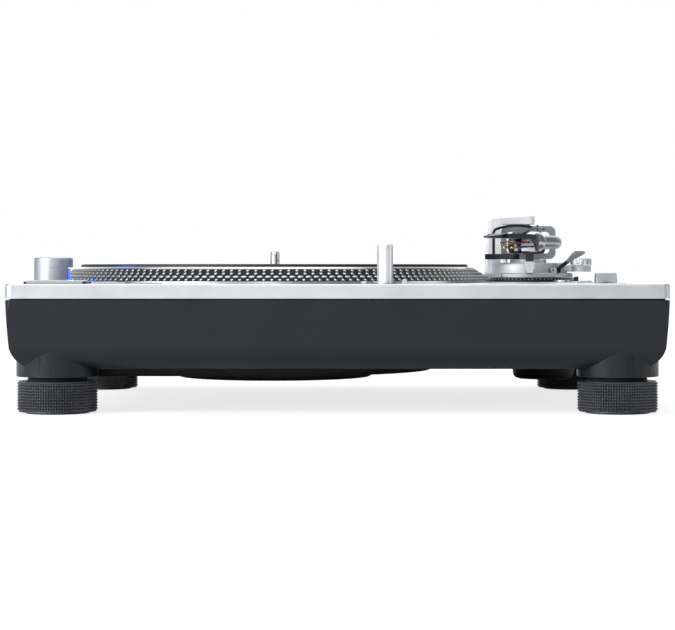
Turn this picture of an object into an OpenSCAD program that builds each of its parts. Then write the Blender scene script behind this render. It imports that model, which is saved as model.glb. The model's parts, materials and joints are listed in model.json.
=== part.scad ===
// Direct-drive record turntable with an S-shaped tonearm, in millimetres.
// The origin is under the middle of the deck, on the surface that the feet stand on.
// X runs to the right, Y to the back and Z up. Each module draws one piece in its place.

/* [Deck] */
// Width of the deck
deck_w = 453; // [440:1:480]
// Depth of the deck
deck_d = 353; // [350:1:380]
// Radius of the deck's upright corners
corner_r = 5; // [4:0.5:8]
// Height of the deck's top face above the table
deck_top_z = 89.5; // [86:0.5:96]
// Thickness of the metal top panel
panel_t = 9.9; // [8:0.1:12]
// Small bevel round the panel's top edge
panel_bevel = 0.8; // [0.3:0.1:1.5]
// Dark shadow gap between the top panel and the base
shadow_gap = 1.0; // [0.5:0.1:2]
// How far the shadow gap is set in from the outline
shadow_in = 3; // [2:0.5:6]

/* [Base] */
// Height of the base shell's underside
base_bottom_z = 30.9; // [29:0.1:33]
// Height at which the flat sides turn into the curved lower edge
base_break_z = 46; // [44:0.5:50]
// How far the flat sides lean in from top to break
base_draft = 2.65; // [1:0.05:3.5]
// Angle at which the curved lower edge leaves the flat side
base_curve_from = 12; // [8:1:16]
// Angle at which the curved lower edge meets the underside
base_curve_to = 82; // [74:1:88]
// Wall of the base shell above the break
base_wall = 4; // [3:0.5:6]
// Thickness of the base shell's floor
base_floor = 5; // [4:0.5:7]

/* [Feet] */
// Distance of each foot's centre from the deck's side
foot_side_in = 32; // [31:0.5:38]
// Distance of each foot's centre from the deck's front or back
foot_end_in = 32; // [31:0.5:38]
// Radius of the boss above each foot
boss_r = 28.3; // [27:0.1:29]
// Height of the boss's underside
boss_bottom_z = 25.5; // [25:0.1:28]
// Radius of the knurled foot ring
foot_r = 27.8; // [25:0.1:29]
// Height of the knurled foot ring's top
foot_ring_top = 22.3; // [18:0.1:23]
// Radius of the neck at the boss
foot_neck_r = 19.8; // [15:0.1:22]
// Radius of the soft pad under each foot
foot_pad_r = 22.3; // [18:0.1:24]
// Thickness of the pad that shows under the ring
foot_pad_t = 1.2; // [0.6:0.1:2]
// Radius of the foot's screw
foot_screw_r = 6; // [4:0.5:8]

/* [Platter] */
// Distance of the platter's axis to the left of the deck's middle
platter_x_in = 47.8; // [46:0.1:50]
// Radius of the platter
platter_r = 166; // [160:0.5:166]
// Radius of the platter's upper face
platter_top_r = 151; // [148:0.5:153]
// Height of the platter above the deck's top face
platter_rise = 11.6; // [10:0.1:14]
// Thickness of the platter's web
platter_web = 5; // [4:0.5:6]
// Thickness of the platter's rim
platter_rim = 17; // [12:0.5:20]
// Number of dotted rows on the platter's tapered side
dot_rows = 4; // [3:1:5]
// Radius of the mat
mat_r = 147; // [140:0.5:150]
// Thickness of the mat
mat_t = 2.1; // [2:0.1:4]
// Radius of the spindle
spindle_r = 3.57; // [3.5:0.01:3.6]
// Height of the spindle's rounded tip above the mat
spindle_rise = 10.8; // [9:0.1:14]
// Radius of the shaft in the bearing
shaft_r = 5; // [4:0.1:7]

/* [Tonearm] */
// Distance from the platter's axis to the arm's pivot
pivot_to_spindle = 215; // [213:0.5:217]
// Distance of the arm's pivot behind the platter's axis
pivot_y_back = 77; // [74:0.5:80]
// Height of the arm's pivot above the deck's top face
pivot_rise = 31.2; // [30:0.1:33]
// Angle by which the parked arm points to the left of straight ahead
park_angle = 3.8; // [0:0.1:6]
// Diameter of the arm tube
tube_d = 9.5; // [8:0.1:10]
// Drop of the tube's axis below the pivot
tube_drop = 1.5; // [0:0.1:2]
// Length from the pivot to the first bend
tube_straight = 75; // [70:0.5:80]
// Radius of the first bend
bend_1_r = 50; // [40:1:60]
// Angle of the first bend, to the right
bend_1_angle = 19.8; // [15:0.1:24]
// Length between the two bends
tube_middle = 32.6; // [25:0.1:40]
// Radius of the second bend
bend_2_r = 40; // [30:1:48]
// Angle of the second bend, to the left
bend_2_angle = 49.2; // [42:0.1:55]
// Length from the second bend to the headshell
tube_front = 27.4; // [17:0.1:28]
// Radius of the locking collar
collar_r = 7.25; // [6.5:0.05:8]
// Length of the locking collar
collar_len = 12; // [9:0.5:14]
// Length of the headshell in front of the collar
shell_len = 66; // [60:0.5:70]
// Width of the headshell
shell_w = 17; // [15:0.5:20]
// Radius of the counterweight
weight_r = 15.5; // [13:0.5:17]
// Length of the counterweight
weight_len = 30; // [24:0.5:34]

/* [Gimbal] */
// Width of the gimbal ring
gimbal_w = 43.4; // [40:0.2:44]
// Height of the gimbal ring
gimbal_h = 26.3; // [25:0.1:27]
// Wall of the gimbal ring
gimbal_wall = 4.5; // [3.5:0.1:5]
// Depth of the gimbal ring, front to back
gimbal_depth = 10; // [8:0.5:12]
// Radius of the gimbal's pivot pins
pin_r = 1.5; // [1:0.1:2]
// Thickness of the yoke's top limb
yoke_top_t = 6.9; // [5:0.1:8]
// Thickness of the yoke's upright limb
yoke_side_t = 11.6; // [8:0.1:12]
// Width of the yoke's upright limb, front to back
yoke_width = 22; // [18:0.5:24]

/* [Arm base] */
// Radius of the arm base's flange
flange_r = 35.5; // [34:0.1:36.5]
// Thickness of the arm base's flange
flange_t = 3.6; // [3:0.1:4]
// Radius of the arm base's drum
drum_r = 31; // [28:0.1:32]
// Height of the arm base's drum above its flange
drum_h = 8; // [7:0.1:9]
// Radius of the arm base's stem
stem_r = 26; // [20:0.1:27]
// Radius of the height ring
height_ring_r = 36.5; // [35:0.1:38]
// How far the arm can be raised
arm_height_travel = 6; // [3:0.5:6]
// Mean radius of the lift rail about the arm's pivot
rail_r = 37; // [35:0.5:38]
// Width of the lift rail
rail_w = 8; // [6:0.5:9]
// Radius of the anti-skate knob
skate_r = 8.3; // [7:0.1:9]

/* [Controls] */
// Radius of the strobe and power tower
tower_r = 14; // [12:0.1:15]
// Height of the tower above the deck's top face
tower_rise = 18.9; // [17:0.1:22]
// Width of the start and stop button
start_w = 38.5; // [36:0.5:42]
// Depth of the start and stop button, front to back
start_d = 33; // [28:0.5:34]
// Width of a speed button
speed_w = 21.5; // [18:0.5:22]
// Depth of a speed button, front to back
speed_d = 9; // [7:0.5:9]
// Radius of the pop-up stylus lamp
lamp_r = 5.5; // [4.5:0.1:6]
// Height of the raised lamp above the deck's top face
lamp_rise = 27.1; // [20:0.1:28]
// How far the lamp sinks when it is pushed down
lamp_travel = 26; // [18:0.5:26]
// Travel of the pitch knob to each side of the middle
pitch_travel = 50; // [40:1:50]
// Width of the pitch knob
pitch_w = 15.5; // [12:0.5:16]
// Length of the pitch knob, front to back
pitch_d = 10; // [8:0.5:30]

/* [Hidden] */
$fn = 96;

// Clearances
gap = 0.3;
slide_gap = 0.3;
run_gap = 0.05;
cut = 1;

// Heights
panel_bottom_z = deck_top_z - panel_t;
base_top_z = panel_bottom_z - shadow_gap;
floor_top_z = base_bottom_z + base_floor;
recess_depth = 2;
shadow_r = max(1, corner_r - shadow_in);
recess_r = platter_r + 3;

// Feet
foot_x = deck_w / 2 - foot_side_in;
foot_y = deck_d / 2 - foot_end_in;
foot_chamfer = 0.8;
foot_screw_top = boss_bottom_z + 9;

// Platter stack
platter_x = -platter_x_in;
platter_bottom_z = deck_top_z - 0.8;
platter_top_z = deck_top_z + platter_rise;
web_bottom_z = platter_top_z - platter_web;
rim_lip_top_z = deck_top_z + 1.7;
rim_bevel = 1.4;
row_step = 1.35;
seat_r = spindle_r + 0.6;
label_r = 52;
label_dip = 0.8;
hub_r = 22;
hub_bottom_z = deck_top_z + 0.5;
shoulder_t = 2.6;
shoulder_r = 16;
magnet_r = 70;
magnet_in_r = 36;
magnet_t = web_bottom_z - hub_bottom_z;
mat_top_z = platter_top_z + mat_t;
spindle_tip_z = mat_top_z + spindle_rise;
shoulder_bottom_z = hub_bottom_z - shoulder_t;
bearing_top_z = shoulder_bottom_z - gap;
bearing_bottom_z = base_bottom_z - 4.9;
bearing_r = 11;
thrust_top_z = bearing_bottom_z + 8;
thrust_t = 3;

// Motor
well_r = 82;
frame_flange_r = 92;
frame_flange_t = 4;
frame_r = 80;
frame_wall = 3;
frame_floor_z = panel_bottom_z - 9.6;
board_t = 1.6;
board_r = 74;
board_z = deck_top_z - 5.5;
board_post_r = 3;
board_post_at = 68;
coil_r = 13;
coil_in_r = 6;
coil_at = 50;
coil_t = 3;
coil_count = 9;

// Bottom covers
bottom_cover_z = base_bottom_z - 7.3;
cover_r = 120;
cover_hole_r = 104;
cover_floor = 2.5;
wing_left_x = -deck_w / 2 + 46.5;
wing_half_d = 116;
wing_r = 12;
motor_cover_r = 74;
motor_cover_z = bottom_cover_z - 5.6;
arm_cover_x = 165;
arm_cover_r = 24.5;
arm_cover_drop = 18.9;

// Arm place
pivot_y = pivot_y_back;
pivot_x = platter_x + sqrt(pow(pivot_to_spindle, 2) - pow(pivot_y, 2));
pivot_z = deck_top_z + pivot_rise;
tube_r = tube_d / 2;
gimbal_top_z = pivot_z + gimbal_h / 2;
gimbal_bottom_z = pivot_z - gimbal_h / 2;
flange_z = deck_top_z + 3.3;
flange_top_z = flange_z + flange_t;
drum_top_z = flange_top_z + drum_h;
step_r = 14.5;
step_top_z = gimbal_bottom_z - gap;
stem_bottom_z = deck_top_z - 30;
pin_len = 5;
gimbal_swing_r = sqrt(pow(gimbal_w / 2, 2) + pow(gimbal_depth / 2, 2));
yoke_in_x = gimbal_swing_r + 0.6;
yoke_out_x = yoke_in_x + yoke_side_t;
yoke_lean = 3.4;
yoke_shift = 2;
yoke_top_z = gimbal_top_z + 1.4 + yoke_top_t;
yoke_end_r = 5;

// Lift
rail_top_z = deck_top_z + 22;
rail_t = 4.3;
rail_from = 22;
rail_to = 60;
rail_post_r = 1.1;
rail_post_angle = 58;
rail_post_at = rail_r - 2.7;
lift_stem_r = 1.6;
lift_stem_angle = 45;
lift_stem_at = drum_r - 3;
lift_lug_w = 7;
lift_travel = 2.2;

// Armrest, cue lever and anti-skate knob, all about the pivot
rest_ahead = 43;
rest_w = 7.6;
rest_d = 8;
cue_x = 20;
cue_y = -26.5;
cue_heading = -39;
cue_slope = 33;
cue_paddle = 7;
cue_hinge_z = flange_top_z + 2.4;
cue_hub_w = 6;
cue_ear_t = 1.5;
cue_ear_y = cue_hub_w / 2 + gap + cue_ear_t;
cue_pin_r = 0.8;
skate_x = 40.3;
skate_y = -17;
skate_top_z = deck_top_z + 18.3;
skate_boss_top = skate_top_z - 5.2;
skate_boss_bottom = skate_boss_top - 5.1;

// Controls
tower_at = platter_r + tower_r - 1.1;
tower_angle = 208.2;
tower_x = platter_x + tower_at * cos(tower_angle);
tower_y = tower_at * sin(tower_angle);
tower_split_z = deck_top_z + 11.3;
tower_facing = atan2(-tower_y, platter_x - tower_x);
knob_hub_r = 5;
start_x = -deck_w / 2 + 32.3;
frame_rise = 1.6;
start_y = -deck_d / 2 + 31;
start_top_z = deck_top_z + 2.5;
frame_edge = 2;
speed_y = -deck_d / 2 + 13.5;
speed_x_33 = -deck_w / 2 + 70.8;
speed_x_45 = speed_x_33 + 25.3;
speed_top_z = deck_top_z + 1.1;
button_depth = 5.8;
press_travel = 1.2;
lamp_at = platter_r + 14;
lamp_angle = -63.46;
lamp_x = platter_x + lamp_at * cos(lamp_angle);
lamp_y = lamp_at * sin(lamp_angle);
lamp_bottom_z = deck_top_z - 14.5;
sleeve_r = lamp_r + 1.7;
lamp_button_x = lamp_x + 13.4;
lamp_button_w = 3.5;
lamp_button_d = 6;
fader_x = deck_w / 2 - 32;
fader_y = -deck_d / 2 + 95;
fader_plate_w = 19;
fader_plate_l = 2 * pitch_travel + 34;
fader_slot_w = 4;
fader_slot_l = 2 * pitch_travel + 6;
pitch_top_z = deck_top_z + 7.3;
reset_x = fader_x - 15.1;
reset_w = 9.8;
reset_d = 6;
socket_x = 172.5;
socket_y = 4;
socket_r = 6.3;
socket_bore_r = 4.1;
adaptor_x = -deck_w / 2 + 37.5;
adaptor_y = deck_d / 2 - 36.5;
adaptor_r = 19;
adaptor_h = 10;

// Rear connectors
jack_x = 105;
jack_bay_w = 90;
bay_front_y = deck_d / 2 - 38;
bay_top_z = base_bottom_z + 29;
bay_wall = 3;
inlet_x = -105;
inlet_bay_w = 56;
hinge_x = 150;
hinge_y = deck_d / 2 - 12.5;
hinge_w = 30;
hinge_d = 11;
hinge_slot_w = 22;
hinge_slot_d = 5;
hinge_h = 26;

// General shapes

// A flat slab with round upright corners, its bottom on z = 0.
module rounded_slab(w, d, r, h) {
    linear_extrude(h) rounded_outline(w, d, r);
}

module rounded_outline(w, d, r) {
    square([w - 2 * r, d], center = true);
    square([w, d - 2 * r], center = true);
    for (sx = [-1, 1], sy = [-1, 1])
        translate([sx * (w / 2 - r), sy * (d / 2 - r)]) circle(r);
}

// A slab whose sides follow a profile of [inset, z] points, from the bottom up.
module profiled_slab(w, d, r, profile) {
    top = len(profile) - 1;
    function side(half) = concat(
        [[-half + profile[0][0], profile[0][1]]],
        [for (p = profile) [half - p[0], p[1]]],
        [for (i = [top:-1:1]) [-half + profile[i][0], profile[i][1]]]
    );
    translate([-(w / 2 - r), 0, 0]) rotate([90, 0, 90])
        linear_extrude(w - 2 * r) polygon(side(d / 2));
    translate([0, d / 2 - r, 0]) rotate([90, 0, 0])
        linear_extrude(d - 2 * r) polygon(side(w / 2));
    for (sx = [-1, 1], sy = [-1, 1])
        translate([sx * (w / 2 - r), sy * (d / 2 - r), 0])
            rotate_extrude() polygon(concat(
                [[0, profile[0][1]]],
                [for (p = profile) [r - p[0], p[1]]],
                [[0, profile[top][1]]]
            ));
}

// A box whose four sides follow a profile of [inset, z] points, from the bottom up.
module profiled_box(w, d, r, profile) {
    function outline(half) = concat(
        [for (p = profile) [half - p[0], p[1]]],
        [for (i = [len(profile) - 1:-1:0]) [-half + profile[i][0], profile[i][1]]]
    );
    intersection() {
        translate([-w / 2, 0, 0]) rotate([90, 0, 90]) linear_extrude(w) polygon(outline(d / 2));
        translate([0, d / 2, 0]) rotate([90, 0, 0]) linear_extrude(d) polygon(outline(w / 2));
        rounded_slab(w, d, r, last(profile)[1]);
    }
}

module ring(r_out, r_in, h) {
    difference() {
        cylinder(h = h, r = r_out);
        translate([0, 0, -cut]) cylinder(h = h + 2 * cut, r = r_in);
    }
}

module block(w, d, h) {
    translate([-w / 2, -d / 2, 0]) cube([w, d, h]);
}

module at_platter() {
    translate([platter_x, 0, 0]) children();
}

module at_arm_base() {
    translate([pivot_x, pivot_y, 0]) children();
}

// The parked arm's own frame: its origin is the pivot, and the arm points along -Y.
module at_arm() {
    translate([pivot_x, pivot_y, pivot_z]) rotate([0, 0, -park_angle]) children();
}

// A route in the XY plane is a list of stations [x, y, heading]. A heading of 0 points
// along -Y, and it grows towards +X.
function ahead(s, l) = [s[0] + l * sin(s[2]), s[1] - l * cos(s[2]), s[2]];
function bend(s, r, angle, steps) = [for (i = [1:steps])
    let (h = s[2] + angle * i / steps, side = angle > 0 ? 1 : -1)
    [s[0] + side * r * (cos(s[2]) - cos(h)), s[1] - side * r * (sin(h) - sin(s[2])), h]];
function last(list) = list[len(list) - 1];

// A round tube along a route, with one ring of points at each station.
module routed_tube(route, r, sides) {
    rings = [for (s = route, k = [0:sides - 1]) let (a = 360 * k / sides)
        [s[0] + r * cos(a) * cos(s[2]), s[1] + r * cos(a) * sin(s[2]), r * sin(a)]];
    end = (len(route) - 1) * sides;
    polyhedron(
        points = rings,
        faces = concat(
            [[for (k = [0:sides - 1]) k]],
            [[for (k = [sides - 1:-1:0]) end + k]],
            [for (i = [0:len(route) - 2], k = [0:sides - 1])
                let (a = i * sides + k, b = i * sides + (k + 1) % sides)
                each [[b, a, a + sides], [b, a + sides, b + sides]]]
        )
    );
}

// The arm tube's route from the pivot block to the headshell.
tube_start = [0, -8, 0];
tube_bend_1 = ahead([0, 0, 0], tube_straight);
tube_turn_1 = bend(tube_bend_1, bend_1_r, bend_1_angle, 6);
tube_bend_2 = ahead(last(tube_turn_1), tube_middle);
tube_turn_2 = bend(tube_bend_2, bend_2_r, -bend_2_angle, 12);
tube_end = ahead(last(tube_turn_2), tube_front);
tube_route = concat([tube_start, tube_bend_1], tube_turn_1, [tube_bend_2], tube_turn_2, [tube_end]);

// The far end of the S-shaped tube, with -Y as the way that the headshell points.
module at_tube_end() {
    translate([tube_end[0], tube_end[1], -tube_drop]) rotate([0, 0, tube_end[2]]) children();
}

// Deck and base

module base_outline_cut(z_from, z_to, inset) {
    translate([0, 0, z_from])
        rounded_slab(deck_w - 2 * inset, deck_d - 2 * inset, 6, z_to - z_from);
}

module top_panel() color("silver") {
    difference() {
        profiled_slab(deck_w, deck_d, corner_r, [
            [0, panel_bottom_z],
            [0, deck_top_z - panel_bevel],
            [panel_bevel, deck_top_z]
        ]);
        at_platter() translate([0, 0, deck_top_z - recess_depth]) cylinder(h = recess_depth + cut, r = recess_r);
        at_platter() panel_hole(well_r);
        at_arm_base() panel_hole(stem_r + run_gap);
        translate([lamp_x, lamp_y, 0]) panel_hole(sleeve_r + run_gap);
        translate([socket_x, socket_y, 0]) panel_hole(socket_r - 1);
        translate([tower_x, tower_y, 0]) panel_hole(knob_hub_r + 3);
        translate([start_x, start_y, panel_bottom_z - cut])
            block(start_w + 2 * frame_edge + gap, start_d + 2 * frame_edge + gap, panel_t + 2 * cut);
        for (x = [speed_x_33, speed_x_45])
            translate([x, speed_y, speed_top_z - button_depth - 2])
                block(speed_w + 2 * slide_gap, speed_d + 2 * slide_gap, panel_t);
        translate([lamp_button_x, lamp_y, deck_top_z - 7])
            block(lamp_button_w + 2 * slide_gap, lamp_button_d + 2 * slide_gap, panel_t);
        translate([reset_x, fader_y, deck_top_z - 7])
            block(reset_w + 2 * slide_gap, reset_d + 2 * slide_gap, panel_t);
        translate([fader_x, fader_y, deck_top_z - 1])
            block(fader_plate_w + gap, fader_plate_l + gap, panel_t);
        translate([fader_x, fader_y, panel_bottom_z - cut])
            block(fader_slot_w, fader_slot_l, panel_t + 2 * cut);
        translate([adaptor_x, adaptor_y, deck_top_z - 6]) cylinder(h = panel_t, r = adaptor_r + 1);
        for (sx = [-1, 1])
            translate([sx * hinge_x, hinge_y, panel_bottom_z - cut])
                block(hinge_w + gap, hinge_d + gap, panel_t + 2 * cut);
    }
}

module panel_hole(r) {
    translate([0, 0, panel_bottom_z - cut]) cylinder(h = panel_t + 2 * cut, r = r);
}

// The lower edge is an arc from a crease at the break down to the underside.
edge_steps = 16;
base_curve_r = (base_break_z - base_bottom_z) / (sin(base_curve_to) - sin(base_curve_from));
base_floor_in = 14;
base_profile = concat(
    [for (i = [0:edge_steps])
        let (a = base_curve_to - (base_curve_to - base_curve_from) * i / edge_steps)
        [base_draft + base_curve_r * (cos(base_curve_from) - cos(a)),
         base_break_z - base_curve_r * (sin(a) - sin(base_curve_from))]],
    [[0, base_top_z]]
);

module base_shell() color([0.17, 0.18, 0.2]) {
    difference() {
        union() {
            profiled_box(deck_w, deck_d, corner_r, base_profile);
            translate([0, 0, base_top_z - cut])
                rounded_slab(deck_w - 2 * shadow_in, deck_d - 2 * shadow_in, shadow_r, shadow_gap + cut);
            for (sx = [-1, 1], sy = [-1, 1])
                translate([sx * foot_x, sy * foot_y, boss_bottom_z])
                    cylinder(h = base_break_z + 6 - boss_bottom_z, r = boss_r);
        }
        difference() {
            union() {
                base_outline_cut(floor_top_z, base_break_z + cut, base_floor_in);
                base_outline_cut(base_break_z, panel_bottom_z + cut, base_draft + base_wall);
            }
            for (sx = [-1, 1], sy = [-1, 1])
                translate([sx * foot_x, sy * foot_y, 0]) cylinder(h = base_break_z, r = foot_screw_r + 8);
            bay_block(jack_x, jack_bay_w + 2 * bay_wall, bay_wall);
            bay_block(inlet_x, inlet_bay_w + 2 * bay_wall, bay_wall);
            board_posts();
        }
        for (sx = [-1, 1], sy = [-1, 1])
            translate([sx * foot_x, sy * foot_y, boss_bottom_z - cut])
                cylinder(h = foot_screw_top - boss_bottom_z + cut, r = foot_screw_r + run_gap);
        at_platter() translate([0, 0, boss_bottom_z]) cylinder(h = base_floor + 8, r = cover_hole_r);
        translate([arm_cover_x, pivot_y, boss_bottom_z]) cylinder(h = base_floor + 8, r = arm_cover_r - 5);
        bay_block(jack_x, jack_bay_w, 0);
        bay_block(inlet_x, inlet_bay_w, 0);
    }
}

// The space of a connector bay, open to the back and the underside.
module bay_block(x, w, extra) {
    translate([x - w / 2, bay_front_y - extra, base_bottom_z - cut])
        cube([w, deck_d / 2 - bay_front_y + extra + cut, bay_top_z - base_bottom_z + extra + cut]);
}

power_board_at = [-deck_w / 2 + 41.5, -20];
control_board_at = [deck_w / 2 - 76.5, -70];
transformer_r = 29;
transformer_in_r = 9;
transformer_h = 22;
circuit_w = 50;
circuit_d = 110;
circuit_post_h = 5;

module board_posts() {
    for (c = [power_board_at, control_board_at], sx = [-1, 1], sy = [-1, 1])
        translate([c[0] + sx * (circuit_w / 2 - 5), c[1] + sy * (circuit_d / 2 - 5), floor_top_z - cut])
            cylinder(h = circuit_post_h + cut, r = 3, $fn = 32);
}

module wing_outline(inset) {
    circle(cover_r - inset);
    wing_w = platter_x - wing_left_x;
    translate([-wing_w / 2, 0]) rounded_outline(wing_w - 2 * inset, 2 * (wing_half_d - inset), wing_r - inset);
}

module bottom_cover() color([0.14, 0.15, 0.16]) {
    cover_h = base_bottom_z - bottom_cover_z;
    edge = 1.2;
    at_platter() difference() {
        union() {
            translate([0, 0, bottom_cover_z + edge]) linear_extrude(cover_h - edge) wing_outline(0);
            translate([0, 0, bottom_cover_z]) linear_extrude(cover_h) wing_outline(edge);
        }
        translate([0, 0, bottom_cover_z + cover_floor]) cylinder(h = cover_h, r = cover_hole_r - 2);
        translate([0, 0, bottom_cover_z - cut]) cylinder(h = cover_h, r = motor_cover_r - 6);
    }
}

module motor_cover() color([0.12, 0.13, 0.14]) {
    h = bottom_cover_z - motor_cover_z;
    at_platter() translate([0, 0, motor_cover_z]) rotate_extrude() polygon([
        [0, 0], [motor_cover_r - 2, 0], [motor_cover_r - 0.6, 0.6], [motor_cover_r, 2],
        [motor_cover_r, h], [motor_cover_r - cover_floor, h],
        [motor_cover_r - cover_floor, cover_floor], [0, cover_floor]
    ]);
}

module arm_cover() color([0.1, 0.11, 0.12]) {
    h = arm_cover_drop;
    r = arm_cover_r;
    translate([arm_cover_x, pivot_y, base_bottom_z - h]) rotate_extrude() polygon([
        [0, 0], [r - 5, 0], [r - 2, 1], [r - 0.6, 3], [r, 6], [r, h],
        [r - cover_floor, h], [r - cover_floor, cover_floor], [0, cover_floor]
    ]);
}

// Motor

module motor_frame() color([0.55, 0.56, 0.58]) at_platter() {
    difference() {
        union() {
            translate([0, 0, panel_bottom_z - frame_flange_t]) ring(frame_flange_r, frame_r - frame_wall, frame_flange_t);
            translate([0, 0, frame_floor_z]) cylinder(h = frame_wall, r = frame_r);
            translate([0, 0, frame_floor_z]) ring(frame_r, frame_r - frame_wall, panel_bottom_z - frame_floor_z);
            for (a = [0:60:300])
                rotate([0, 0, a + 20]) translate([board_post_at, 0, frame_floor_z])
                    cylinder(h = board_z - frame_floor_z, r = board_post_r, $fn = 32);
        }
        translate([0, 0, frame_floor_z - cut]) cylinder(h = 2 * frame_wall, r = bearing_r + gap);
    }
}

module stator_board() color([0.1, 0.3, 0.2]) at_platter() {
    translate([0, 0, board_z]) ring(board_r, bearing_r + 3, board_t);
}

module stator_coils() color([0.72, 0.42, 0.2]) at_platter() {
    for (i = [0:coil_count - 1])
        rotate([0, 0, i * 360 / coil_count])
            translate([coil_at, 0, board_z + board_t]) ring(coil_r, coil_in_r, coil_t);
}

module bearing_housing() color([0.75, 0.68, 0.4]) at_platter() {
    flange_t_here = 3.2;
    difference() {
        union() {
            translate([0, 0, bearing_bottom_z]) cylinder(h = bearing_top_z - bearing_bottom_z, r = bearing_r);
            translate([0, 0, frame_floor_z - flange_t_here]) cylinder(h = flange_t_here, r = bearing_r + 14);
        }
        translate([0, 0, thrust_top_z - thrust_t]) cylinder(h = bearing_top_z, r = shaft_r + run_gap);
    }
}

module thrust_pad() color([0.9, 0.9, 0.86]) at_platter() {
    translate([0, 0, thrust_top_z - thrust_t]) cylinder(h = thrust_t, r = shaft_r);
}

// Electronics

module power_board() color([0.12, 0.32, 0.2]) {
    circuit_board(power_board_at);
    for (i = [0:2])
        translate([power_board_at[0] + 10, power_board_at[1] - 30 + 26 * i, floor_top_z + circuit_post_h + board_t])
            cylinder(h = 18, r = 7, $fn = 48);
}

module circuit_board(c) {
    translate([c[0], c[1], floor_top_z + circuit_post_h]) block(circuit_w, circuit_d, board_t);
}

module transformer() color([0.5, 0.3, 0.15]) {
    translate([power_board_at[0] + 6, power_board_at[1] + circuit_d / 2 + transformer_r + 11, floor_top_z])
        ring(transformer_r, transformer_in_r, transformer_h);
}

module control_board() color([0.12, 0.32, 0.2]) {
    circuit_board(control_board_at);
    for (i = [0:2])
        translate([control_board_at[0], control_board_at[1] - 32 + 30 * i, floor_top_z + circuit_post_h + board_t])
            block(16, 16, 2.4);
}

// Strobe tower

module at_tower() {
    translate([tower_x, tower_y, 0]) rotate([0, 0, tower_facing]) children();
}

notch_from = 6.6;
lens_in = 1.8;
lens_bottom_z = deck_top_z + 0.8;

module strobe_column() color([0.72, 0.73, 0.75]) {
    difference() {
        translate([tower_x, tower_y, deck_top_z]) cylinder(h = tower_split_z - deck_top_z, r = tower_r);
        at_tower() translate([notch_from, -tower_r, lens_bottom_z]) cube([tower_r, 2 * tower_r, tower_rise]);
        translate([tower_x, tower_y, deck_top_z - cut]) cylinder(h = tower_rise, r = knob_hub_r + run_gap);
        at_platter() translate([0, 0, deck_top_z - cut]) cylinder(h = tower_rise, r = platter_r + 1);
    }
}

module strobe_lens() color([0.2, 0.4, 1, 0.6]) {
    lens_h = tower_split_z - lens_bottom_z - 0.8;
    at_tower() translate([0, 0, lens_bottom_z]) intersection() {
        translate([notch_from, -tower_r, 0]) cube([tower_r, 2 * tower_r, lens_h]);
        cylinder(h = lens_h, r = tower_r - lens_in);
    }
}

module power_knob() color([0.72, 0.73, 0.75]) {
    h = tower_rise + deck_top_z - tower_split_z - run_gap;
    edge = 1.2;
    difference() {
        translate([tower_x, tower_y, tower_split_z + run_gap]) rotate_extrude() polygon(concat(
            [[0, 0], [tower_r, 0]],
            [for (i = [0:4]) let (a = 90 * i / 4) [tower_r - edge + edge * cos(a), h - 0.5 - edge + edge * sin(a)]],
            [[tower_r * 0.5, h - 0.12], [0, h]]
        ));
        for (i = [-2:2])
            translate([tower_x - tower_r, tower_y + i * 4 - 0.3, deck_top_z + tower_rise - 0.9])
                cube([2 * tower_r, 0.6, 1]);
    }
    translate([tower_x, tower_y, deck_top_z - 2]) cylinder(h = tower_split_z + gap + 1 - deck_top_z + 2, r = knob_hub_r);
}

// Buttons, lamp and fader

module button_frame() color([0.12, 0.12, 0.13]) {
    difference() {
        translate([start_x, start_y, panel_bottom_z])
            block(start_w + 2 * frame_edge, start_d + 2 * frame_edge, panel_t + frame_rise);
        translate([start_x, start_y, panel_bottom_z + 2.4])
            block(start_w + 2 * slide_gap, start_d + 2 * slide_gap, panel_t + cut);
    }
}

// A key with a bevel along its left and right edges, its top at z = 0.
module key(w, d, h, bevel) {
    translate([0, d / 2, 0]) rotate([90, 0, 0]) linear_extrude(d) polygon([
        [-w / 2, -h], [w / 2, -h], [w / 2, -bevel], [w / 2 - 1.6 * bevel, 0],
        [-w / 2 + 1.6 * bevel, 0], [-w / 2, -bevel]
    ]);
}

module start_stop_button() color([0.78, 0.79, 0.8]) {
    translate([start_x, start_y, start_top_z]) key(start_w, start_d, 7.5, 0.5);
}

module speed_button_33() color([0.72, 0.73, 0.74]) {
    translate([speed_x_33, speed_y, speed_top_z]) key(speed_w, speed_d, button_depth, 1);
}

module speed_button_45() color([0.72, 0.73, 0.74]) {
    translate([speed_x_45, speed_y, speed_top_z]) key(speed_w, speed_d, button_depth, 1);
}

module lamp_sleeve() color([0.6, 0.61, 0.63]) {
    bottom_z = lamp_bottom_z - lamp_travel - 2.6;
    difference() {
        union() {
            translate([lamp_x, lamp_y, bottom_z]) cylinder(h = deck_top_z - bottom_z, r = sleeve_r);
            translate([lamp_x, lamp_y, deck_top_z]) cylinder(h = 0.4, r = sleeve_r + 0.8);
        }
        translate([lamp_x, lamp_y, bottom_z + 1.6]) cylinder(h = deck_top_z, r = lamp_r + run_gap);
    }
}

lamp_window_h = 5;
lamp_facing = atan2(-lamp_y, platter_x - lamp_x);

module lamp_window(grow) {
    translate([lamp_x, lamp_y, deck_top_z + lamp_rise - 3 - lamp_window_h - grow]) rotate([0, 0, lamp_facing])
        translate([lamp_r - 2.5 - grow, -2.5 - grow, 0]) cube([1.9 + 4 * grow, 5 + 2 * grow, lamp_window_h + 2 * grow]);
}

module stylus_lamp() color([0.85, 0.86, 0.87]) {
    h = deck_top_z + lamp_rise - lamp_bottom_z;
    edge = 0.5;
    difference() {
        translate([lamp_x, lamp_y, lamp_bottom_z]) rotate_extrude() polygon([
            [0, 0], [lamp_r, 0], [lamp_r, h - edge], [lamp_r - edge, h], [0, h]
        ]);
        lamp_window(0.3);
    }
}

module lamp_lens() color([1, 0.98, 0.9]) {
    lamp_window(0);
}

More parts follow.
